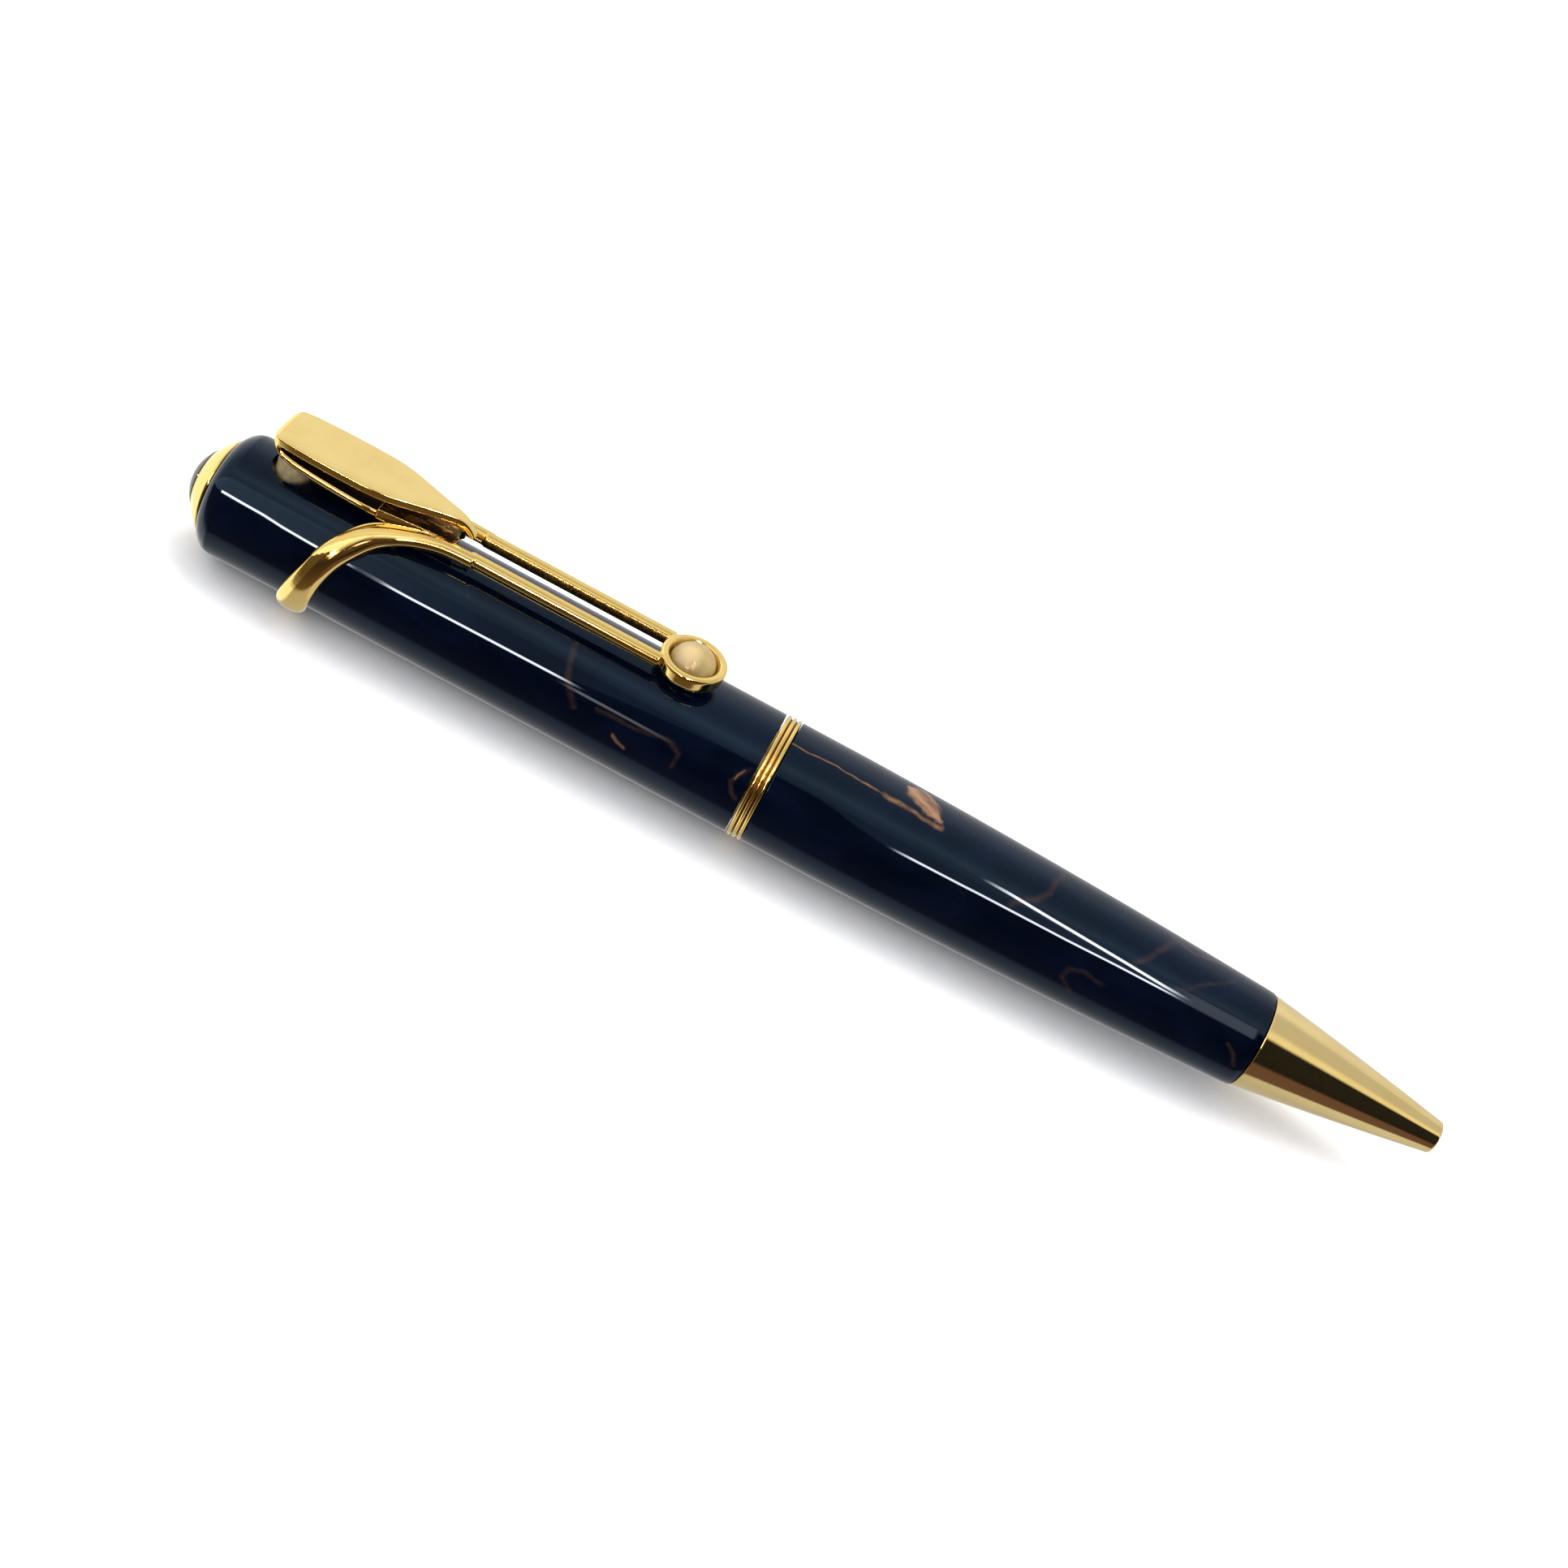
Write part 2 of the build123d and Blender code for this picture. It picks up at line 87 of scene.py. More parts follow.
# ---------------------------------------------------------------- meshes

def link(name, data):
    """New object in the scene from a mesh, camera or light."""
    piece = bpy.data.objects.new(name, data)
    bpy.context.scene.collection.objects.link(piece)
    return piece


def to_mesh(bm, name, tidy_normals=True):
    """Mesh data from a bmesh, which is freed."""
    if tidy_normals:
        bmesh.ops.recalc_face_normals(bm, faces=bm.faces)
    mesh = bpy.data.meshes.new(name)
    bm.to_mesh(mesh)
    bm.free()
    return mesh


def smooth_by_angle(mesh, degrees):
    """Smooth shading with sharp edges where faces turn by more than this angle."""
    mesh.polygons.foreach_set("use_smooth", [True] * len(mesh.polygons))
    mesh.set_sharp_from_angle(angle=math.radians(degrees))


def arc(centre, radius, start, stop, steps):
    """Points (x, r) on an arc, angles in degrees from the +x direction towards +r."""
    angles = np.linspace(math.radians(start), math.radians(stop), steps + 1)
    return [(centre[0] + radius * math.cos(a), centre[1] + radius * math.sin(a)) for a in angles]


def through(a, b, c, steps):
    """Points on the circular arc from a through b to c."""
    (ax, ay), (bx, by), (cx, cy) = a, b, c
    d = 2 * (ax * (by - cy) + bx * (cy - ay) + cx * (ay - by))
    ux = ((ax**2 + ay**2) * (by - cy) + (bx**2 + by**2) * (cy - ay) + (cx**2 + cy**2) * (ay - by)) / d
    uy = ((ax**2 + ay**2) * (cx - bx) + (bx**2 + by**2) * (ax - cx) + (cx**2 + cy**2) * (bx - ax)) / d
    radius = math.hypot(ax - ux, ay - uy)
    first = math.atan2(ay - uy, ax - ux)
    middle = math.atan2(by - uy, bx - ux)
    last = math.atan2(cy - uy, cx - ux)
    while middle - first > math.pi:
        middle -= 2 * math.pi
    while first - middle > math.pi:
        middle += 2 * math.pi
    while last - middle > math.pi:
        last -= 2 * math.pi
    while middle - last > math.pi:
        last += 2 * math.pi
    angles = np.linspace(first, last, steps + 1)
    return [(ux + radius * math.cos(a), uy + radius * math.sin(a)) for a in angles]


def lathe(name, outline, axis="X", centre=(0, 0), segments=SEGMENTS, sharp=30):
    """Closed solid of revolution from a closed outline of (station, radius) in metres.

    The axis is the pen's own, or an upright one through centre (x, y).
    """
    bm = bmesh.new()
    rings = []
    for station, radius in outline:
        if radius < 1e-9:
            rings.append([bm.verts.new(place(station, 0, 0, axis, centre))])
            continue
        ring = []
        for i in range(segments):
            a = 2 * math.pi * i / segments
            ring.append(bm.verts.new(place(station, radius, a, axis, centre)))
        rings.append(ring)
    count = len(rings)
    for k in range(count):
        one, two = rings[k], rings[(k + 1) % count]
        if len(one) == 1 and len(two) == 1:
            continue
        for i in range(segments):
            j = (i + 1) % segments
            if len(one) == 1:
                bm.faces.new((one[0], two[j], two[i]))
            elif len(two) == 1:
                bm.faces.new((one[i], one[j], two[0]))
            else:
                bm.faces.new((one[i], one[j], two[j], two[i]))
    mesh = to_mesh(bm, name)
    smooth_by_angle(mesh, sharp)
    return link(name, mesh)


def place(station, radius, angle, axis, centre):
    if axis == "X":
        return (station, radius * math.sin(angle), AXIS_Z + radius * math.cos(angle))
    return (centre[0] + radius * math.cos(angle), centre[1] + radius * math.sin(angle), station)


CORNER_STEPS = 5         # faces round each corner of a rounded section
SIDE_STEPS = 5           # and along each of its sides


def rounded_section(width, thick, radius):
    """Closed ring of (across, up) points of a rectangle with round corners, centred on the origin."""
    w, h = width / 2 - radius, thick / 2 - radius
    points = []
    for cx, cy, start in ((w, h, 0), (-w, h, 90), (-w, -h, 180), (w, -h, 270)):
        for k in range(CORNER_STEPS + 1):
            a = math.radians(start + 90 * k / CORNER_STEPS)
            points.append((cx + radius * math.cos(a), cy + radius * math.sin(a)))
        nxt = {0: (-w, h + radius), 90: (-w - radius, -h), 180: (w, -h - radius), 270: (w + radius, h)}[start]
        last = points[-1]
        for k in range(1, SIDE_STEPS):
            f = k / SIDE_STEPS
            points.append((last[0] + (nxt[0] - last[0]) * f, last[1] + (nxt[1] - last[1]) * f))
    return points


def catmull(rows, per_span):
    """Rows of numbers resampled along a Catmull-Rom curve through them."""
    rows = np.array(rows, float)
    padded = np.vstack([2 * rows[0] - rows[1], rows, 2 * rows[-1] - rows[-2]])
    out = []
    for i in range(1, len(padded) - 2):
        p0, p1, p2, p3 = padded[i - 1:i + 3]
        for k in range(per_span):
            t = k / per_span
            out.append(0.5 * (2 * p1 + (p2 - p0) * t + (2 * p0 - 5 * p1 + 4 * p2 - p3) * t**2
                              + (3 * p1 - p0 - 3 * p2 + p3) * t**3))
    out.append(rows[-1])
    return np.array(out)


def domed_section(width, thick, dome, taper, power):
    """Closed ring of a bar with a domed top and a lower half that draws in towards a flat underside."""
    steps = 14
    a, foot, r = width / 2, width / 2 * taper, min(0.14 * MM, thick * 0.25)
    spring, low = -thick / 2 + thick * (1 - dome), -thick / 2
    points = []
    for k in range(steps + 1):
        t = math.pi * k / steps
        c, q = math.cos(t), math.sin(t)
        points.append((a * math.copysign(abs(c) ** power, c), spring + thick * dome * abs(q) ** power))
    side = [(a + (foot - a) * f, spring + (low + r - spring) * f) for f in (0.35, 0.7, 1.0)]
    corner = [(foot - 0.3 * r, low + 0.3 * r), (foot - r, low)]
    points += [(-x, z) for x, z in side + corner]
    points += [(f * (foot - r), low) for f in (-0.5, 0.0, 0.5)]
    points += [(x, z) for x, z in reversed(side + corner)]
    return points


def swept(name, spine, ups, sections):
    """Solid swept along a spine; each section is a ring of (across, up) points."""
    bm = bmesh.new()
    rings = []
    for i, point in enumerate(spine):
        ahead = spine[min(i + 1, len(spine) - 1)]
        behind = spine[max(i - 1, 0)]
        along = (Vector(ahead) - Vector(behind)).normalized()
        across = Vector(ups[i]).cross(along).normalized()
        up = along.cross(across).normalized()
        rings.append([bm.verts.new(Vector(point) + across * a + up * b) for a, b in sections[i]])
    size = len(rings[0])
    for one, two in zip(rings, rings[1:]):
        for i in range(size):
            j = (i + 1) % size
            bm.faces.new((one[i], one[j], two[j], two[i]))
    bm.faces.new(rings[0])
    bm.faces.new(rings[-1])
    mesh = to_mesh(bm, name)
    smooth_by_angle(mesh, 40)
    return link(name, mesh)


def modify(piece, kind, **settings):
    """Adds a modifier, applies it and returns the piece."""
    modifier = piece.modifiers.new(kind.lower(), kind)
    for key, value in settings.items():
        setattr(modifier, key, value)
    bpy.context.view_layer.update()
    deps = bpy.context.evaluated_depsgraph_get()
    mesh = bpy.data.meshes.new_from_object(piece.evaluated_get(deps))
    piece.modifiers.clear()
    old = piece.data
    piece.data = mesh
    bpy.data.meshes.remove(old)
    return piece


def join(name, pieces):
    """One object from several, with their meshes simply put together."""
    bm = bmesh.new()
    for piece in pieces:
        bm.from_mesh(piece.data)
    mesh = to_mesh(bm, name, tidy_normals=False)
    for piece in pieces:
        bpy.data.objects.remove(piece)
    return link(name, mesh)


# ---------------------------------------------------------------- material nodes

class Graph:
    """Short names for building a node tree."""

    def __init__(self, tree):
        self.tree = tree

    def put(self, node, socket, value):
        target = node.inputs[socket]
        if isinstance(value, bpy.types.NodeSocket):
            self.tree.links.new(value, target)
        else:
            target.default_value = value

    def math(self, operation, a, b=0.0, clamp=False):
        node = self.tree.nodes.new("ShaderNodeMath")
        node.operation = operation
        node.use_clamp = clamp
        self.put(node, 0, a)
        self.put(node, 1, b)
        return node.outputs[0]

    def vector(self, operation, a, b=None, scale=None):
        node = self.tree.nodes.new("ShaderNodeVectorMath")
        node.operation = operation
        self.put(node, 0, a)
        if b is not None:
            self.put(node, 1, b)
        if scale is not None:
            self.put(node, "Scale", scale)
        return node.outputs["Value" if operation in ("DOT_PRODUCT", "LENGTH") else "Vector"]

    def split(self, vector):
        node = self.tree.nodes.new("ShaderNodeSeparateXYZ")
        self.put(node, 0, vector)
        return node.outputs

    def combine(self, x, y, z):
        node = self.tree.nodes.new("ShaderNodeCombineXYZ")
        for i, value in enumerate((x, y, z)):
            self.put(node, i, value)
        return node.outputs[0]

    def noise(self, vector, scale, detail=2.0, rough=0.5, distortion=0.0):
        node = self.tree.nodes.new("ShaderNodeTexNoise")
        self.put(node, "Vector", vector)
        self.put(node, "Scale", scale)
        self.put(node, "Detail", detail)
        self.put(node, "Roughness", rough)
        self.put(node, "Distortion", distortion)
        return node.outputs["Fac"]

    def ramp(self, value, low, high, out_low=0.0, out_high=1.0):
        """Smooth step of value from low to high, mapped to out_low .. out_high."""
        node = self.tree.nodes.new("ShaderNodeMapRange")
        node.interpolation_type = "SMOOTHSTEP"
        for key, v in (("Value", value), ("From Min", low), ("From Max", high),
                       ("To Min", out_low), ("To Max", out_high)):
            self.put(node, key, v)
        return node.outputs["Result"]

    def mix(self, factor, a, b):
        node = self.tree.nodes.new("ShaderNodeMix")
        node.data_type = "RGBA"
        self.put(node, 0, factor)
        self.put(node, 6, a)
        self.put(node, 7, b)
        return node.outputs[2]


class Finish(Graph):
    """A material's node tree, with positions in the row frame in millimetres."""

    def __init__(self, name):
        self.material = bpy.data.materials.new(name)
        self.material.use_nodes = True
        super().__init__(self.material.node_tree)
        self.shader = self.tree.nodes["Principled BSDF"]
        coords = self.tree.nodes.new("ShaderNodeTexCoord")
        self.place = self.vector("SCALE", coords.outputs["Object"], scale=1 / MM)

    def stretch(self, factors):
        return self.vector("MULTIPLY", self.place, factors)

    def blend_into(self, socket, factor, value):
        """Mixes a value over what already feeds one of the shader's sockets."""
        before = self.shader.inputs[socket].links[0].from_socket
        if socket == "Base Color":
            self.put(self.shader, socket, self.mix(factor, before, value))
            return
        change = self.math("MULTIPLY", self.math("SUBTRACT", value, before), factor)
        self.put(self.shader, socket, self.math("ADD", before, change))

    def bump(self, height, strength, distance):
        node = self.tree.nodes.new("ShaderNodeBump")
        node.inputs["Strength"].default_value = strength
        node.inputs["Distance"].default_value = distance
        self.put(node, "Height", height)
        self.tree.links.new(node.outputs[0], self.shader.inputs["Normal"])

    def set(self, **values):
        for key, value in values.items():
            self.put(self.shader, key.replace("_", " "), value)


def rgba(r, g, b):
    return (r, g, b, 1.0)


# Amber veins in the resin: points (along from the band, degrees round from the top towards -Y), half
# width in mm, strength. The points were picked on the photo and turned into pen coordinates through
# the fitted camera, and then adjusted.
VEINS = [
    ([(1.0, 11.3), (4.0, 9.9), (8.3, 11.0), (12.0, 12.1), (17.2, 14.6)], 0.09, 0.75),
    ([(11.0, 11.6), (14.5, 12.8), (17.4, 14.8)], 0.22, 0.8),
    ([(30.2, -12.0), (29.6, 2.6), (29.3, 18.0), (28.5, 31.0), (26.6, 46.0)], 0.28, 0.09),
    ([(42.4, -10.0), (41.6, 12.0), (40.6, 26.7), (39.6, 38.0)], 0.28, 0.09),
    ([(37.8, 72.0), (35.6, 68.0), (34.4, 74.0), (34.3, 86.0), (35.6, 97.0)], 0.24, 0.06),
    ([(42.4, -14.0), (44.6, -9.0), (47.2, -19.0), (49.5, -30.0)], 0.32, 0.14),
    ([(44.0, 44.0), (46.2, 28.0), (49.3, -2.0)], 0.22, 0.06),
    ([(51.2, 66.0), (52.2, 74.0), (52.8, 86.0)], 0.20, 0.09),
    ([(-14.6, 81.0), (-14.0, 84.0), (-13.2, 86.5)], 0.15, 0.55),
    ([(-21.8, 26.0), (-21.5, 40.0), (-20.9, 54.0), (-19.2, 74.0)], 0.28, 0.10),
    ([(-17.0, 67.0), (-12.4, 64.0), (-9.6, 60.0), (-8.2, 66.0), (-8.3, 80.0)], 0.20, 0.09),
    ([(-1.5, 50.0), (-2.3, 57.0), (-2.6, 66.0), (-2.0, 76.0), (-1.4, 80.0)], 0.22, 0.09),
    ([(-1.9, 52.0), (-2.3, 57.0), (-2.4, 61.0)], 0.10, 0.75),
    ([(-46.0, 31.0), (-44.0, 24.0), (-41.5, 27.0)], 0.20, 0.07),
]
DEGREE = 0.11            # arc length in mm of one degree on the pen's surface


def vein(g, here, points, half, strength):
    """Soft line through the points, on the pen's unrolled surface."""
    total = None
    for (x0, a0), (x1, a1) in zip(points, points[1:]):
        start = (x0, a0 * DEGREE, 0.0)
        step = (x1 - x0, (a1 - a0) * DEGREE, 0.0)
        length = step[0]**2 + step[1]**2
        offset = g.vector("SUBTRACT", here, start)
        share = g.math("DIVIDE", g.vector("DOT_PRODUCT", offset, step), length, clamp=True)
        away = g.vector("LENGTH", g.vector("SUBTRACT", offset, g.vector("SCALE", step, scale=share)))
        line = g.ramp(away, 0.0, half * 1.9, strength, 0.0)
        total = line if total is None else g.math("MAXIMUM", total, line)
    return total


def resin_material():
    """Near-black navy cast resin, with wisps of blue, amber veins and one amber patch."""
    g = Finish("navy_resin")
    x, y, z = g.split(g.place)
    rise = g.math("SUBTRACT", z, AXIS_MM)
    turn = g.math("MULTIPLY", g.math("ARCTAN2", g.math("MULTIPLY", y, -1.0), rise), 180 / math.pi)
    cloud = g.noise(g.stretch((0.5, 1.0, 1.0)), 0.22, 3.0, 0.6, 0.8)
    blue = g.mix(g.ramp(cloud, 0.35, 0.75), rgba(0.0003, 0.0012, 0.0045), rgba(0.0009, 0.0024, 0.0085))
    wobble = g.math("MULTIPLY", g.math("SUBTRACT", g.noise(g.place, 0.40, 1.5, 0.5), 0.5), 0.9)
    run = g.math("ADD", g.math("SUBTRACT", x, BAND_MM), g.math("MULTIPLY", wobble, 0.5))
    here = g.combine(run, g.math("ADD", g.math("MULTIPLY", turn, DEGREE), wobble), 0.0)
    # Drawn veins
    amber = None
    for points, half, strength in VEINS:
        line = vein(g, here, points, half, strength)
        amber = line if amber is None else g.math("MAXIMUM", amber, line)
    uneven = g.ramp(g.noise(g.stretch((0.8, 1.5, 1.5)), 0.8, 2.0, 0.6), 0.3, 0.65, 0.40, 1.0)
    amber = g.math("MULTIPLY", amber, uneven)
    # Faint wandering veins everywhere else
    wisp = g.noise(g.stretch((0.35, 1.0, 1.0)), 0.32, 4.0, 0.55, 1.6)
    thin = g.ramp(g.math("ABSOLUTE", g.math("SUBTRACT", wisp, 0.5)), 0.0, 0.007, 1.0, 0.0)
    where = g.ramp(g.noise(g.stretch((0.7, 1.0, 1.0)), 0.16, 2.0, 0.5), 0.58, 0.74)
    amber = g.math("MAXIMUM", amber, g.math("MULTIPLY", g.math("MULTIPLY", thin, where), 0.12))
    # The patch where the streak ends: a triangle that points forward, with fibres along it
    inside = None
    corners = [(12.4, -15.0), (14.4, -27.0), (16.2, -13.0), (17.6, 13.0), (14.8, 7.0), (13.0, 0.0)]
    for (x0, a0), (x1, a1) in zip(corners, corners[1:] + corners[:1]):
        edge = Vector((x1 - x0, (a1 - a0) * DEGREE)).normalized()
        offset = g.vector("SUBTRACT", here, (x0, a0 * DEGREE, 0.0))
        depth = g.vector("DOT_PRODUCT", offset, (-edge.y, edge.x, 0.0))
        inside = depth if inside is None else g.math("MINIMUM", inside, depth)
    ragged = g.math("MULTIPLY", g.math("SUBTRACT", g.noise(g.place, 1.4, 3.0, 0.6), 0.5), 0.9)
    patch = g.ramp(g.math("ADD", inside, ragged), -0.10, 0.50)
    across = g.vector("DOT_PRODUCT", here, (-0.5, 0.866, 0.0))
    along = g.vector("DOT_PRODUCT", here, (0.866, 0.5, 0.0))
    fibre = g.noise(g.combine(g.math("MULTIPLY", along, 0.3), across, 0.0), 1.1, 2.0, 0.6)
    patch_tint = g.mix(g.ramp(fibre, 0.35, 0.66), rgba(0.085, 0.040, 0.020), rgba(0.235, 0.125, 0.062))
    tint = g.mix(g.noise(g.place, 0.9, 2.0), rgba(0.12, 0.050, 0.018), rgba(0.24, 0.13, 0.055))
    colour = g.mix(amber, blue, tint)
    colour = g.mix(g.math("MULTIPLY", patch, 0.9), colour, patch_tint)
    smear = g.noise(g.stretch((0.12, 1.0, 1.0)), 0.9, 3.0, 0.6)
    scratch = g.noise(g.stretch((0.06, 2.5, 2.5)), 3.2, 2.0, 0.7)
    g.set(Base_Color=colour, Roughness=g.ramp(smear, 0.3, 0.8, 0.015, 0.04), IOR=1.5,
          Specular_IOR_Level=0.41, Specular_Tint=rgba(0.46, 0.71, 1.0))
    g.bump(g.math("ADD", g.math("MULTIPLY", smear, 0.6), g.math("MULTIPLY", scratch, 0.06)), 0.03, 0.02 * MM)
    return g.material


TARNISH = 0.36           # most that a gilt surface shifts towards its deeper tone


def gilt_finish(name, colour, rough, wave, grain, grain_scale):
    """Gold plate: colour varies a little, with the soft waviness of polishing and a fine grain."""
    g = Finish(name)
    broad = g.noise(g.place, 0.35, 2.0)
    deep = rgba(*(c * f for c, f in zip(colour, (0.86, 0.78, 0.66))))
    tone = g.mix(g.ramp(broad, 0.3, 0.8, 0.0, TARNISH), rgba(*colour), deep)
    fine = g.noise(g.place, grain_scale, 3.0, 0.7)
    g.set(Base_Color=tone, Metallic=1.0, Roughness=g.ramp(fine, 0.2, 0.8, rough * 0.75, rough * 1.3))
    hills = g.noise(g.place, 0.8, 1.0)
    height = g.math("ADD", g.math("MULTIPLY", hills, wave), g.math("MULTIPLY", fine, grain))
    g.bump(height, 1.0, MM)
    return g


def casting_material():
    """The clip's polished gold, with painted shade (dark and rough) on the inner walls between the two rails
    and under the leaf.
    """
    g = gilt_finish("casting_gilt", GOLD, 0.085, 0.004, 0.0004, 6.0)
    x, y, z = g.split(g.place)
    # Painted shade on the inner walls between the rails, below their tops; the grain noise only breaks this
    # painted shade into speckles
    near = g.ramp(g.math("ABSOLUTE", y), 1.27, 1.42, 1.0, 0.0)
    low = g.ramp(z, AXIS_MM + Z_RAIL - 0.42, AXIS_MM + Z_RAIL - 0.12, 1.0, 0.0)
    span = g.math("MULTIPLY", g.ramp(x, BAND_MM - 36.5, BAND_MM - 35.5),
                  g.ramp(x, BAND_MM - 14.2, BAND_MM - 13.6, 1.0, 0.0))
    grain = g.ramp(g.noise(g.place, 4.5, 4.0, 0.7), 0.3, 0.62, 0.55, 1.0)
    rail_gap_shade = g.math("MULTIPLY", g.math("MULTIPLY", g.math("MULTIPLY", near, low), span), grain)
    g.blend_into("Base Color", rail_gap_shade, rgba(0.085, 0.050, 0.020))
    g.blend_into("Roughness", rail_gap_shade, 0.5)
    # Painted shade under the leaf on the plate between the arms, with painted warm gold highlights in spots
    under_leaf_shade = g.math("MULTIPLY", g.ramp(g.math("ABSOLUTE", y), 1.9, 2.35, 1.0, 0.0),
                  g.ramp(z, AXIS_MM + 8.6, AXIS_MM + 8.85))
    under_leaf_shade = g.math("MULTIPLY", under_leaf_shade, g.ramp(x, BAND_MM - 36.7, BAND_MM - 36.1, 1.0, 0.0))
    warm_highlight_spots = g.ramp(g.noise(g.stretch((0.7, 1.6, 1.6)), 0.9, 3.0, 0.6), 0.50, 0.60)
    g.blend_into("Base Color", under_leaf_shade, g.mix(warm_highlight_spots, rgba(0.12, 0.060, 0.016), rgba(0.95, 0.50, 0.085)))
    g.blend_into("Roughness", under_leaf_shade, 0.24)
    return g.material


def simple_material(name, colour, metallic, rough, vary=0.25, bump=0.002):
    """Plain material with tone, roughness and surface that vary a little."""
    g = Finish(name)
    cloud = g.noise(g.place, 1.2, 3.0, 0.6)
    dark = rgba(*(c * (1 - vary) for c in colour))
    light = rgba(*(min(1.0, c * (1 + vary)) for c in colour))
    g.set(Base_Color=g.mix(g.ramp(cloud, 0.25, 0.75), dark, light), Metallic=metallic,
          Roughness=g.ramp(cloud, 0.2, 0.8, rough * 0.8, rough * 1.25))
    g.bump(cloud, 1.0, bump * MM)
    return g.material


def pearl_material():
    """Champagne pearl: layered body, with a painted highlight near the crown and painted shade, browner, at
    the sides, and a few tiny pits.
    """
    low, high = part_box("clip_pearl")
    middle = (low + high) / 2 / MM
    g = Finish("pearl")
    cloud = g.noise(g.place, 0.9, 3.0, 0.55, 0.4)
    body = g.mix(g.ramp(cloud, 0.3, 0.75), rgba(0.23, 0.160, 0.050), rgba(0.29, 0.205, 0.075))
    x, y, z = g.split(g.place)
    # Painted highlight: the body is lightened round a spot near the crown, a little towards -X and -Y
    highlight_centre = (middle.x - 0.7, middle.y - 1.0, high.z / MM - 0.25)
    highlight_distance = g.vector("LENGTH", g.vector("SUBTRACT", g.place, highlight_centre))
    body = g.mix(g.ramp(highlight_distance, 0.2, 1.9, 0.9, 0.0), body, rgba(0.47, 0.35, 0.165))
    # Painted shade: darker and browner towards the lower sides
    side = g.ramp(z, high.z / MM - 1.3, high.z / MM - 2.3)
    body = g.mix(g.math("MULTIPLY", side, 0.6), body, rgba(0.13, 0.080, 0.030))
    pits = g.ramp(g.noise(g.place, 3.4, 2.0, 0.5), 0.70, 0.76)
    corner = middle.x + middle.y
    pits = g.math("MULTIPLY", pits, g.ramp(g.math("ADD", x, y), corner - 0.4, corner + 1.2))
    body = g.mix(g.math("MULTIPLY", pits, 0.7), body, rgba(0.06, 0.035, 0.015))
    g.set(Base_Color=body, Roughness=g.ramp(cloud, 0.2, 0.8, 0.26, 0.34), IOR=1.6,
          Subsurface_Weight=0.2, Subsurface_Radius=(0.9 * MM, 0.6 * MM, 0.35 * MM), Subsurface_Scale=1.0,
          Coat_Weight=0.3, Coat_Roughness=0.2)
    g.bump(g.math("ADD", cloud, g.math("MULTIPLY", g.noise(g.place, 9.0, 2.0), 0.15)), 0.25, 0.01 * MM)
    return g.material


def use(piece, material):
    if not isinstance(material, tuple):
        piece.data.materials.clear()
        material = (material,)
    for one in material:
        piece.data.materials.append(one)
    return piece


GOLD = (0.97, 0.70, 0.235)
Z_RAIL = 9.0             # tops of the rails, up from the axis
RESIN = resin_material()
POLISHED = gilt_finish("polished_gilt", GOLD, 0.075, 0.004, 0.0004, 6.0).material
NOSE_GILT = gilt_finish("nose_gilt", (0.95, 0.735, 0.335), 0.06, 0.0015, 0.0003, 6.0).material
SATIN = gilt_finish("satin_gilt", (0.99, 0.76, 0.30), 0.27, 0.002, 0.0035, 9.0).material
EDGE_GILT = gilt_finish("edge_gilt", GOLD, 0.11, 0.003, 0.0008, 7.0).material
# Painted shade: a dark brown gilt for the floors of the band's grooves and the inner faces of the leaf's fold
SHADE_GILT = gilt_finish("painted_shade_gilt", (0.10, 0.055, 0.020), 0.38, 0.006, 0.008, 4.0).material
CASTING = casting_material()
BRASS_POST = simple_material("brass_post", (0.40, 0.31, 0.17), 0.45, 0.42)
RAW_BRASS = simple_material("raw_brass", (0.72, 0.52, 0.24), 1.0, 0.28)
STONE = simple_material("dark_stone", (0.012, 0.016, 0.015), 0.0, 0.06, bump=0.0005)
SPRING_STEEL = simple_material("spring_steel", (0.50, 0.50, 0.52), 1.0, 0.25, 0.12)
PEARL = pearl_material()


# ---------------------------------------------------------------- the pen's turned pieces

def cap_body():
    low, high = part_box("cap_shell")
    corner, wall, lip = 2.0 * MM, 1.3 * MM, 0.06 * MM
    x0, x1, r = low.x, high.x + 0.1 * MM, R_PEN
    hole = 1.25 * MM
    end_wall = 3.0 * MM
    outline = [(x0, hole)]
    outline += arc((x0 + corner, r - corner), corner, 180, 90, 24)
    outline += [(x0 + (x1 - x0) * f, r) for f in (0.12, 0.3, 0.5, 0.75)]
    outline += [(x1 - lip - 0.04 * MM, r), (x1 - lip, r), (x1 - lip * 0.3, r - lip * 0.3), (x1, r - lip)]
    outline += [(x1, r - wall), (x0 + end_wall, r - wall), (x0 + end_wall, hole)]
    piece = lathe("cap_body", outline)
    post_low, post_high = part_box("clip_post")
    x_post = (post_low.x + post_high.x) / 2
    r_hole = (post_high.x - post_low.x) / 2 + 0.42 * MM
    drill = lathe("drill", [(AXIS_Z + 2 * MM, 0), (AXIS_Z + 2 * MM, r_hole), (AXIS_Z + 8 * MM, r_hole),
                            (AXIS_Z + 8 * MM, 0)], axis="Z", centre=(x_post, 0), segments=96)
    modify(piece, "BOOLEAN", operation="DIFFERENCE", object=drill, solver="EXACT")
    bpy.data.objects.remove(drill)
    smooth_by_angle(piece.data, 30)
    even_normals(piece.data)
    return piece


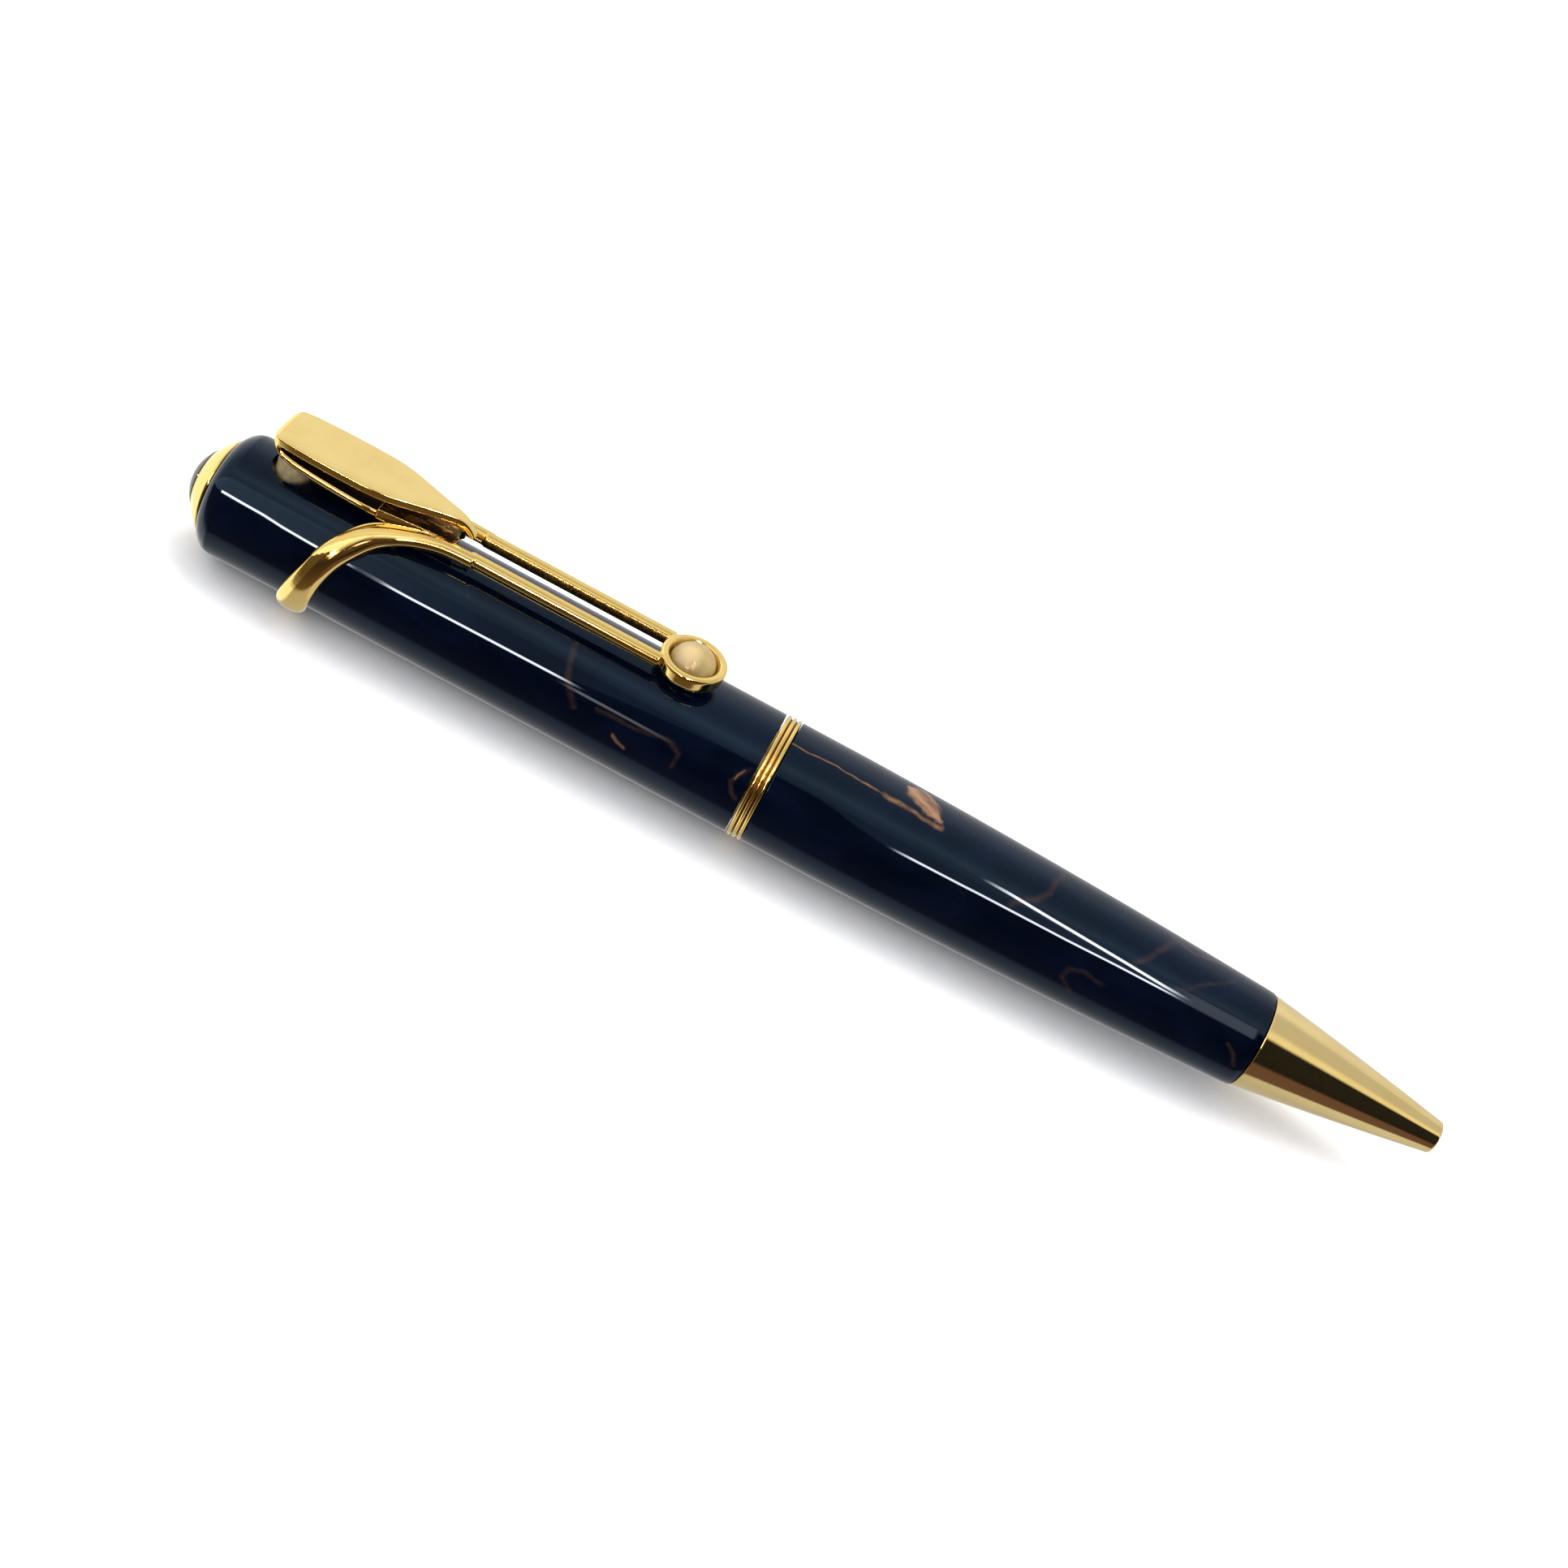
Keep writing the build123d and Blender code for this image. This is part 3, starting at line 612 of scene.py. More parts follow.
def even_normals(mesh):
    """True cylinder normals on the outside, so that the faces cut round the hole shade evenly."""
    normals = [Vector(n.vector) for n in mesh.corner_normals]
    for polygon in mesh.polygons:
        middle = polygon.center
        out = Vector((0, middle.y, middle.z - AXIS_Z)).normalized()
        if polygon.normal.dot(out) < 0.999:
            continue
        for loop in polygon.loop_indices:
            p = mesh.vertices[mesh.loops[loop].vertex_index].co
            if math.hypot(p.y, p.z - AXIS_Z) > R_PEN - 0.01 * MM:
                normals[loop] = Vector((0, p.y, p.z - AXIS_Z)).normalized()
    mesh.normals_split_custom_set([n[:] for n in normals])


def barrel_body():
    low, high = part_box("barrel_shell")
    r = R_PEN
    x0, x1 = low.x, high.x
    edge = 0.15 * MM
    front = 5.05 * MM
    middle = (x0 + 30.15 * MM, 6.03 * MM)
    outline = [(x0, 4.62 * MM), (x0, r - 0.08 * MM), (x0 + 0.03 * MM, r - 0.02 * MM), (x0 + 0.08 * MM, r)]
    outline += [(x0 + f * MM, r) for f in (0.12, 2.5, 5.0)]
    outline += through((x0 + 7.15 * MM, r), middle, (x1 - edge, front), 60)
    outline += [(x1 - edge * 0.3, front - edge * 0.3), (x1, front - edge), (x1, 4.2 * MM),
                (x0 + 43.15 * MM, 4.2 * MM), (x0 + 43.15 * MM, 3.8 * MM), (x0 + 11.25 * MM, 3.8 * MM),
                (x0 + 11.25 * MM, 4.62 * MM)]
    return lathe("barrel_body", outline)


def nose():
    low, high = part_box("nose_cone")
    x1 = high.x
    back = (high.z - low.z) / 2
    x0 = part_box("barrel_shell")[1].x + 0.1 * MM
    lead, rim = 0.15 * MM, 0.35 * MM
    end = 1.67 * MM
    outline = [(low.x, 3.2 * MM), (low.x, 3.7 * MM), (x0, 3.7 * MM), (x0, back - lead)]
    outline += [(x0 + lead * 0.3, back - lead * 0.3)]
    belly = ((x0 + x1) / 2, (back + end) / 2 + 0.11 * MM)
    outline += through((x0 + lead, back), belly, (x1 - rim, end + 0.05 * MM), 24)
    outline += arc((x1 - rim, end - rim + 0.05 * MM), rim, 80, 0, 8)
    outline += [(x1, 1.27 * MM), (x1 - 0.02 * MM, 1.25 * MM)]
    outline += [(x1 - 7.5 * MM, 1.25 * MM), (x1 - 7.5 * MM, 2.2 * MM), (x1 - 13.5 * MM, 2.2 * MM),
                (x1 - 13.5 * MM, 3.2 * MM)]
    return lathe("nose_gilt", outline)


def band():
    """Three rounded crests on a core in painted shade."""
    width = BAND_HIGH.x - BAND_LOW.x
    r = (BAND_HIGH.z - BAND_LOW.z) / 2
    pitch = width / 3
    floor = r - 0.26 * MM
    outline = [(BAND_LOW.x, 4.62 * MM)]
    for i in range(3):
        centre = BAND_LOW.x + pitch * (i + 0.5)
        half = pitch / 2 - 0.065 * MM
        outline.append((centre - half, floor))
        for a in np.linspace(160, 20, 15):
            outline.append((centre + half * math.cos(math.radians(a)) * 0.97,
                            floor + (r - floor) * math.sin(math.radians(a)) ** 0.7))
        outline.append((centre + half, floor))
    outline.append((BAND_HIGH.x, 4.62 * MM))
    piece = lathe("band_gilt", outline, sharp=50)
    # Faces at the floor of the grooves take the second material, the painted shade gilt
    for polygon in piece.data.polygons:
        middle = polygon.center
        if math.hypot(middle.y, middle.z - AXIS_Z) < floor + 0.06 * MM:
            polygon.material_index = 1
    return piece


def crown():
    low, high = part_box("crown_ring")
    x_back, r = high.x, (high.z - low.z) / 2
    x_edge = x_back - 0.2 * MM
    x_lip = x_back - 1.7 * MM
    seat = 3.03 * MM
    outline = [(x_back, 0), (x_back, r - 0.04 * MM), (x_back - 0.04 * MM, r), (x_edge + 0.05 * MM, r)]
    outline += through((x_edge, r - 0.01 * MM), (x_back - 1.05 * MM, 4.15 * MM), (x_lip, 3.22 * MM), 20)
    outline += [(x_lip - 0.08 * MM, 3.17 * MM), (x_lip - 0.12 * MM, 3.1 * MM), (x_lip - 0.1 * MM, seat)]
    outline += [(x_back - 1.3 * MM, seat), (x_back - 1.3 * MM, 0)]
    return lathe("crown_gilt", outline)


def cabochon():
    low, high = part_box("crown_cabochon")
    r = (high.z - low.z) / 2
    rise = 1.13 * MM
    sphere = (r**2 + rise**2) / (2 * rise)
    top = math.degrees(math.asin(r / sphere))
    outline = arc((low.x + sphere, 0), sphere, 180, 180 - top, 24)
    outline += [(high.x, r), (high.x, 0)]
    return lathe("cabochon", outline)


def pearl():
    low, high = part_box("clip_pearl")
    centre = ((low.x + high.x) / 2, 0)
    r = (high.x - low.x) / 2
    middle = high.z - r
    start = math.degrees(math.asin((low.z - middle) / r))
    outline = [(middle + r * math.sin(math.radians(a)), r * math.cos(math.radians(a)))
               for a in np.linspace(90, start, 48)]
    outline[0] = (high.z, 0)
    outline.append((low.z, 0))
    return lathe("pearl", outline, axis="Z", centre=centre, segments=128)


def spring():
    """The refill's return spring, an open coil of round wire."""
    low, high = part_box("refill_spring")
    wire, turns, steps = 0.175 * MM, 6, 40
    coil_r = (high.z - low.z) / 2 - wire
    spine, ups = [], []
    for k in range(turns * steps + 1):
        share = k / (turns * steps)
        a = 2 * math.pi * turns * share
        up = Vector((0, math.sin(a), math.cos(a)))
        x = low.x + wire + (high.x - low.x - 2 * wire) * share
        spine.append(Vector((x, 0, AXIS_Z)) + up * coil_r)
        ups.append(up)
    section = [(wire * math.cos(a), wire * math.sin(a)) for a in np.linspace(0, 2 * math.pi, 13)[:-1]]
    return swept("refill_coil", spine, ups, [section] * len(spine))


# Underside of the folded strip, from the web to the head: (along, up)
UNDER_STRIP = [(-44.25, 7.9), (-49.0, 8.15), (-53.0, 8.4), (-54.5, 8.72), (-55.33, 9.23), (-56.1, 10.4)]


def post():
    """Brass post cut to the strip's slope, with its riveted end standing through the strip."""
    low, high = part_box("clip_post")
    centre = ((low.x + high.x) / 2, 0)
    r = (high.x - low.x) / 2
    outline = [(low.z, 0), (low.z, 1.0 * MM), (low.z + 2.5 * MM, 1.0 * MM), (low.z + 2.5 * MM, r)]
    outline += [(AXIS_Z + z * MM, r) for z in (7.0, 9.8)]
    outline += [(AXIS_Z + 9.8 * MM, r * f) for f in (0.8, 0.6, 0.4, 0.2, 0.0)]
    piece = lathe("post", outline, axis="Z", centre=centre, segments=96)
    curve = sorted(UNDER_STRIP)
    for v in piece.data.vertices:
        x = (v.co.x - BAND_X) / MM
        limit = AXIS_Z + (float(np.interp(x, [c[0] for c in curve], [c[1] for c in curve])) + 0.02) * MM
        v.co.z = min(v.co.z, limit)
    smooth_by_angle(piece.data, 30)
    rivet_r = 0.9 * MM
    rivet = [(AXIS_Z + 8.0 * MM, 0), (AXIS_Z + 8.0 * MM, rivet_r), (high.z - 0.25 * MM, rivet_r),
             (high.z - 0.08 * MM, rivet_r * 0.85), (high.z, rivet_r * 0.4), (high.z, 0)]
    return join("post", [piece, lathe("rivet", rivet, axis="Z", centre=centre, segments=48)])


# ---------------------------------------------------------------- the clip

RAIL_THICK = 1.43
RAIL_WIDE = 1.47
Y_RAIL = 1.93
ROOT_X = -34.15          # where the rails begin
RAILS_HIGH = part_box("clip_rails")[1]
BEZEL_R = 3.38
BEZEL_X = (RAILS_HIGH.x - BAND_X) / MM - BEZEL_R
BEZEL_TOP = (RAILS_HIGH.z - AXIS_Z) / MM

# Stations of one arm from the rail to its end, as in the CAD model:
# (along, degrees round from the top, underside radius, width, thickness, domed share of the thickness)
ARM = [
    (-33.9, 14.3, 7.81, 1.47, 1.43, 0.52),
    (-37.0, 15.2, 7.80, 1.58, 1.43, 0.54),
    (-39.6, 17.8, 7.55, 1.92, 1.42, 0.58),
    (-41.8, 22.0, 7.15, 2.36, 1.40, 0.62),
    (-43.6, 29.5, 6.85, 2.72, 1.38, 0.70),
    (-44.9, 41.0, 6.70, 2.82, 1.32, 0.74),
    (-46.3, 59.0, 6.64, 2.78, 1.28, 0.76),
    (-47.3, 80.0, 6.60, 2.74, 1.25, 0.76),
    (-48.1, 102.0, 6.58, 3.00, 1.22, 0.76),
    (-48.55, 118.0, 6.58, 3.18, 1.18, 0.78),
    (-48.85, 130.0, 6.58, 3.16, 1.10, 0.80),
    (-48.95, 138.0, 6.59, 2.90, 0.98, 0.82),
    (-49.0, 143.0, 6.61, 2.40, 0.80, 0.82),
    (-49.03, 147.0, 6.66, 1.70, 0.56, 0.80),
    (-49.05, 149.2, 6.72, 0.90, 0.34, 0.80),
]


def arm(side):
    rows = catmull(ARM, 6)
    spine, ups = [], []
    for along, degrees, radius, _, thick, _ in rows:
        a = math.radians(degrees)
        up = Vector((0, side * math.sin(a), math.cos(a)))
        spine.append(at(along) + up * ((radius + thick / 2) * MM))
        ups.append(up)
    return swept("arm", spine, ups, [domed_section(r[3] * MM, r[4] * MM, r[5], 0.82, 0.93) for r in rows])


def rail(side):
    stations = np.linspace(ROOT_X - 0.3, BEZEL_X - 2.75, 9)
    spine = [at(x, side * Y_RAIL, Z_RAIL - RAIL_THICK / 2) for x in stations]
    section = domed_section(RAIL_WIDE * MM, RAIL_THICK * MM, 0.52, 0.76, 0.86)
    return swept("rail", spine, [Vector((0, 0, 1))] * 9, [section] * 9)


def bezel():
    edge, seat, top = 0.30, 2.58, BEZEL_TOP
    outline = [(6.85, 0), (6.98, 1.6), (7.38, 3.0), (7.57, 3.25), (7.85, BEZEL_R), (top - edge, BEZEL_R)]
    outline += [(top - edge + edge * math.sin(a), BEZEL_R - edge + edge * math.cos(a))
                for a in np.radians([30, 60, 90])]
    outline += [(top, seat + 0.14), (top - 0.12, seat + 0.02), (8.6, 2.40), (8.2, 2.46), (7.6, 2.50),
                (7.6, 0)]
    outline = [(AXIS_Z + z * MM, r * MM) for z, r in outline]
    return lathe("bezel", outline, axis="Z", centre=(at(BEZEL_X).x, 0), segments=128)


def web():
    """Plate between the arms, under the leaf, ending in a notch where the rails part."""
    bm = bmesh.new()
    plan = [(-44.22, 2.75), (-42.4, 2.55), (-39.5, 2.2), (-36.4, 1.9), (-36.2, 0.9), (-36.6, 0.35),
            (-36.7, 0)]
    ring = plan + [(x, -y) for x, y in reversed(plan[:-1])]
    top = [bm.verts.new(at(x, y, 8.93)) for x, y in ring]
    low = [bm.verts.new(at(x, y, 7.77)) for x, y in ring]
    bm.faces.new(top)
    bm.faces.new(list(reversed(low)))
    for i in range(len(ring)):
        j = (i + 1) % len(ring)
        bm.faces.new((top[j], top[i], low[i], low[j]))
    return link("web", to_mesh(bm, "web"))


def clip_casting():
    """Arms, web, rails and pearl cup as one casting, with its corners softened by polishing."""
    piece = join("clip_casting", [arm(1), arm(-1), rail(1), rail(-1), bezel(), web()])
    voxel = 0.065 * MM
    modify(piece, "REMESH", mode="VOXEL", voxel_size=voxel, adaptivity=0.0)
    modify(piece, "SMOOTH", factor=0.5, iterations=12)
    smooth_by_angle(piece.data, 180)
    return piece


# Half the leaf's width along its length: bowed head, nearly straight sides, long drawn-out point
LEAF_PLAN = catmull([
    (-56.2, 0.0), (-56.17, 0.95), (-56.06, 1.75), (-55.84, 2.35), (-55.45, 2.70), (-54.9, 2.88),
    (-53.5, 3.02), (-51.0, 3.12), (-48.4, 3.15), (-45.5, 3.07), (-43.6, 2.78), (-42.0, 2.3),
    (-40.4, 1.74), (-38.7, 1.18), (-37.2, 0.75), (-35.9, 0.48), (-35.0, 0.4)], 8)

Z_LEAF = 10.9            # outer face of the leaf, up from the axis
SHEET = 0.85             # thickness of leaf and strip
# The sheet's outer and inner face, from the tip to the head, round the fold and under: (x, z, x, z)
LEAF_FACES = [
    (-35.02, 9.42, -35.48, 9.08), (-35.30, 9.86, -35.82, 9.42), (-35.72, 10.27, -36.20, 9.70),
    (-36.28, 10.62, -36.62, 9.90), (-36.95, 10.83, -37.10, 10.01), (-37.7, 10.9, -37.7, 10.05),
    *[(x, Z_LEAF, x, Z_LEAF - SHEET) for x in (-38.6, -41.0, -44.0, -47.0, -50.0, -52.6)],
    (-54.5, 10.9, -54.45, 10.05), (-55.25, 10.89, -54.72, 10.02), (-55.75, 10.86, -54.83, 9.96),
    (-56.03, 10.68, -54.87, 9.90), (-56.08, 10.40, -54.88, 9.85), (-55.93, 10.06, -54.87, 9.80),
    (-55.67, 9.67, -54.82, 9.73), (-55.33, 9.23, -54.72, 9.66), (-54.92, 8.93, -54.56, 9.58),
    (-54.4, 8.70, -54.25, 9.49), (-53.6, 8.50, -53.55, 9.35),
    *[(x, z, x, z + SHEET) for x, z in ((-52.5, 8.37), (-50.8, 8.25), (-49.0, 8.15), (-46.6, 8.02),
                                        (-44.26, 7.9))],
]
FOLD_STATION = 14        # beyond this row the sheet is turning under


def half_leaf(x):
    return float(np.interp(x, LEAF_PLAN[:, 0], LEAF_PLAN[:, 1]))


def leaf():
    """One sheet, rolled over at the head and folded under: satin on top, polished at the edges,
    painted shade on its inner faces inside the fold."""
    per_span = 5
    rows = catmull(LEAF_FACES, per_span)
    bm = bmesh.new()
    rings = []
    for xo, zo, xi, zi in rows:
        middle = Vector(((xo + xi) / 2, (zo + zi) / 2))
        up = Vector((xo - xi, zo - zi))
        thick = up.length
        up.normalize()
        half = half_leaf(middle.x)
        ring = []
        soft = 0.41 if len(rings) > FOLD_STATION * per_span else 0.17
        for a, b in rounded_section(2 * half, thick, min(soft, half * 0.4)):
            x, z = middle.x + up.x * b, middle.y + up.y * b
            ring.append(bm.verts.new(at(x, a * half_leaf(x) / half, z)))
        rings.append(ring)
    size = len(rings[0])
    quarter = CORNER_STEPS + SIDE_STEPS
    for k, (one, two) in enumerate(zip(rings, rings[1:])):
        for i in range(size):
            j = (i + 1) % size
            face = bm.faces.new((one[i], one[j], two[j], two[i]))
            outer = CORNER_STEPS <= i < quarter
            inner = 2 * quarter + CORNER_STEPS <= i < 3 * quarter
            on_top = k < FOLD_STATION * per_span
            # The sheet's inner faces, under the leaf and inside the fold, take the painted shade gilt (index
            # 2)
            face.material_index = 2 if inner else (0 if outer and on_top else 1)
    for end in (rings[0], rings[-1]):
        bm.faces.new(end).material_index = 1
    mesh = to_mesh(bm, "leaf")
    smooth_by_angle(mesh, 50)
    return link("leaf", mesh)


# ---------------------------------------------------------------- build the pen

def build():
    for piece, nodes, body, material, slot in (
        (cap_body(), ("cap_shell",), "cap", RESIN, "navy_resin"),
        (barrel_body(), ("barrel_shell",), "barrel", RESIN, "navy_resin"),
        (nose(), ("nose_cone",), "barrel", NOSE_GILT, "polished_gilt"),
        (band(), ("centre_band",), "barrel", (POLISHED, SHADE_GILT), "polished_gilt"),
        (crown(), ("crown_ring",), "cap", POLISHED, "polished_gilt"),
        (cabochon(), ("crown_cabochon",), "cap", STONE, "dark_stone"),
        (post(), ("clip_post",), "cap", BRASS_POST, "brass_post"),
        (leaf(), ("clip_leaf",), "cap", (SATIN, EDGE_GILT, SHADE_GILT), "satin_gilt"),
        (pearl(), ("clip_pearl",), "clip", PEARL, "pearl"),
    ):
        use(piece, material)
        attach(piece, body)
        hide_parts(*nodes)
    coil = use(spring(), SPRING_STEEL)
    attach(coil, "barrel")
    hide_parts("refill_spring")
    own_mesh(coil)
    casting = use(clip_casting(), CASTING)
    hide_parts("clip_frame", "clip_rails")
    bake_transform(casting)


def dress_cad_nodes():
    """Procedural finishes for the inner pieces that keep their CAD meshes."""
    finishes = {
        "raw_brass": RAW_BRASS,
        "white_acetal": simple_material("white_acetal", (0.78, 0.78, 0.74), 0.0, 0.4, 0.05),
        "steel": simple_material("steel", (0.55, 0.55, 0.56), 1.0, 0.22, 0.1),
        "rubber": simple_material("rubber", (0.02, 0.02, 0.02), 0.0, 0.6, 0.3, bump=0.01),
        "refill_metal": simple_material("refill_metal", (0.62, 0.62, 0.63), 1.0, 0.3, 0.08),
        "black_plastic": simple_material("black_plastic", (0.02, 0.02, 0.022), 0.0, 0.38, 0.3),
        "ink_fibre": simple_material("ink_fibre", (0.012, 0.02, 0.10), 0.0, 0.8, 0.4, bump=0.03),
        "tip_steel": simple_material("tip_steel", (0.70, 0.69, 0.67), 1.0, 0.16, 0.06),
        "ball_carbide": simple_material("ball_carbide", (0.32, 0.32, 0.34), 1.0, 0.12, 0.1),
    }
    for part in frame["record"]["subparts"]:
        finish = finishes.get(part["material_slot"])
        if finish is None:
            continue
        node = frame["nodes"][part["node"]]
        node.data.materials.clear()
        node.data.materials.append(finish)


# ---------------------------------------------------------------- studio

def camera():
    """At the photo's viewing angle: almost square to the pen's length, 40 degrees up, and rolled so that
    the pen falls to the right."""
    roll = math.radians(28.25)
    yaw = math.radians(-0.4)
    distance = 221.2
    toward = Vector((0, -math.cos(VIEW_ELEVATION), math.sin(VIEW_ELEVATION)))
    up_image = Vector((0, math.sin(VIEW_ELEVATION), math.cos(VIEW_ELEVATION)))
    along = Vector((1, 0, 0))
    view = toward * math.cos(yaw) - along * math.sin(yaw)
    side = along * math.cos(yaw) + toward * math.sin(yaw)
    right = side * math.cos(roll) + up_image * math.sin(roll)
    up = up_image * math.cos(roll) - side * math.sin(roll)
    aim = at(1.99) + up_image * (0.34 * MM)
    data = bpy.data.cameras.new("camera")
    data.sensor_width = 36.0
    data.lens = 51.8
    data.clip_start = 0.005
    data.clip_end = 20.0
    piece = link("camera", data)
    basis = Matrix((right, up, view)).transposed().to_4x4()
    piece.matrix_world = Matrix.Translation(aim + view * (distance * MM)) @ basis
    bpy.context.scene.camera = piece


def floor():
    mesh = bpy.data.meshes.new("floor")
    size = 4.0
    corners = [(-size, -size, 0), (size, -size, 0), (size, size, 0), (-size, size, 0)]
    mesh.from_pydata(corners, [], [(0, 1, 2, 3)])
    piece = link("floor", mesh)
    g = Finish("floor")
    speckle = g.noise(g.place, 0.6, 4.0, 0.6)
    tone = g.mix(g.ramp(speckle, 0.2, 0.8), rgba(0.80, 0.80, 0.805), rgba(0.83, 0.83, 0.835))
    g.set(Base_Color=tone, Roughness=0.55)
    mesh.materials.append(g.material)
    piece.visible_glossy = False


def softbox():
    """Wide lamp above and behind the pen, for the soft shadow. Shiny surfaces see the room instead."""
    place = Vector((0.10, 0.16, 0.40))
    data = bpy.data.lights.new("softbox", "AREA")
    data.shape = "RECTANGLE"
    data.size, data.size_y = 0.50, 0.40
    data.energy = 2.6
    data.color = (1.0, 0.985, 0.96)
    piece = link("softbox", data)
    piece.location = place
    piece.rotation_euler = (-place).to_track_quat("-Z", "Y").to_euler()
    piece.visible_glossy = False
    piece.visible_camera = False


# What shiny surfaces see, by the direction's angle round the pen from the viewer (up is positive): a
# grey level or a colour. These tables and those below were set so that the render's reflections
# match the photo's.
ROOM_STOPS = [
    (-180, 0.70), (-157, 0.53), (-101, 0.50), (-93, 0.45), (-86, (0.13, 0.09, 0.05)),
    (-60, (0.075, 0.048, 0.025)), (-35, (0.035, 0.023, 0.014)), (-20, (0.075, 0.05, 0.027)),
    (13, (0.045, 0.034, 0.024)), (24, (0.82, 0.82, 0.80)), (33, (1.10, 1.10, 1.06)),
    (41, (0.80, 0.80, 0.78)), (50, (0.60, 0.60, 0.59)), (59, 0.55), (68, 0.58), (78, 0.62), (89, 0.75),
    (101, 0.90), (131, 0.78), (180, 0.70)]
# The same beyond the pen's writing end, where the nose looks
FRONT_STOPS = [
    (-180, 0.66), (-89, 0.66), (-84, (0.14, 0.09, 0.08)), (-52, (0.14, 0.08, 0.07)),
    (-44, (0.015, 0.014, 0.014)), (16, (0.015, 0.014, 0.014)), (24, (0.90, 0.88, 0.72)),
    (34, (0.90, 0.88, 0.72)), (46, (0.60, 0.59, 0.56)), (86, 0.58), (98, 0.76), (128, 0.76),
    (145, 0.62), (180, 0.70)]
# The same beyond the crown
BACK_STOPS = [
    (-180, (1.25, 1.25, 1.20)), (-96, (1.25, 1.25, 1.20)), (-82, (0.30, 0.26, 0.20)),
    (-60, (0.12, 0.08, 0.04)), (10, (0.10, 0.08, 0.05)), (26, (0.90, 0.90, 0.88)), (60, 0.80),
    (88, (1.05, 1.05, 1.02)), (100, (1.25, 1.25, 1.20)), (180, (1.25, 1.25, 1.20))]
# By the direction's share along the pen: where the bright ceiling begins, and how bright it is there
CEILING_EDGE = [(-0.30, -9), (-0.25, -14), (-0.23, -16), (-0.15, -16), (-0.12, -12), (-0.08, 2), (-0.04, 12),
                (0.01, 12), (0.04, 5), (0.07, -4), (0.13, -2), (0.20, 0), (0.28, 3)]
CEILING = [(-0.28, 1.30), (-0.25, 1.15), (-0.22, 1.0), (-0.19, 0.68), (-0.15, 0.38), (-0.10, 0.32),
           (-0.03, 0.31), (0.05, 0.36), (0.10, 0.42), (0.15, 0.52), (0.20, 0.68), (0.28, 0.72), (0.34, 0.9)]
# Thin lamps: centre angle and strength along the pen, half width in degrees
LAMPS = [
    ([(-0.29, -6), (-0.268, -9.2), (-0.258, -10), (-0.25, -13), (-0.235, -15.2), (-0.19, -17), (-0.15, -15.6),
      (-0.10, -14.2)],
     [(-0.30, 0.0), (-0.285, 1.0), (-0.222, 0.9), (-0.216, 0.0), (-0.203, 0.0), (-0.196, 0.9), (-0.12, 0.9),
      (-0.108, 0.0)], 1.9),
    ([(-0.22, -15.5), (-0.19, -16.5)], [(-0.222, 0.0), (-0.212, 0.03), (-0.203, 0.12), (-0.195, 0.0)], 3.0),
    ([(-0.11, -22), (-0.06, -22.5)], [(-0.115, 0.0), (-0.105, 0.10), (-0.075, 0.07), (-0.058, 0.0)], 2.3),
    ([(0.07, -4.6), (0.13, -2.6), (0.14, -1.8), (0.20, -0.5), (0.237, 2.3), (0.28, 3.4)],
     [(0.078, 0.0), (0.094, 0.8), (0.262, 0.9), (0.278, 0.0)], 1.8),
    ([(0.13, 25.6), (0.155, 24.9), (0.18, 21.7), (0.21, 18.4), (0.237, 15.2), (0.265, 11.0), (0.285, 9.6)],
     [(0.138, 0.0), (0.150, 0.5), (0.162, 1.0), (0.262, 1.0), (0.280, 0.0)], 2.4),
    ([(0.25, 11.0), (0.33, 13.0)], [(0.262, 0.0), (0.285, 0.03), (0.33, 0.03), (0.35, 0.0)], 12.0),
]
LAMP_RADIANCE = 36.0


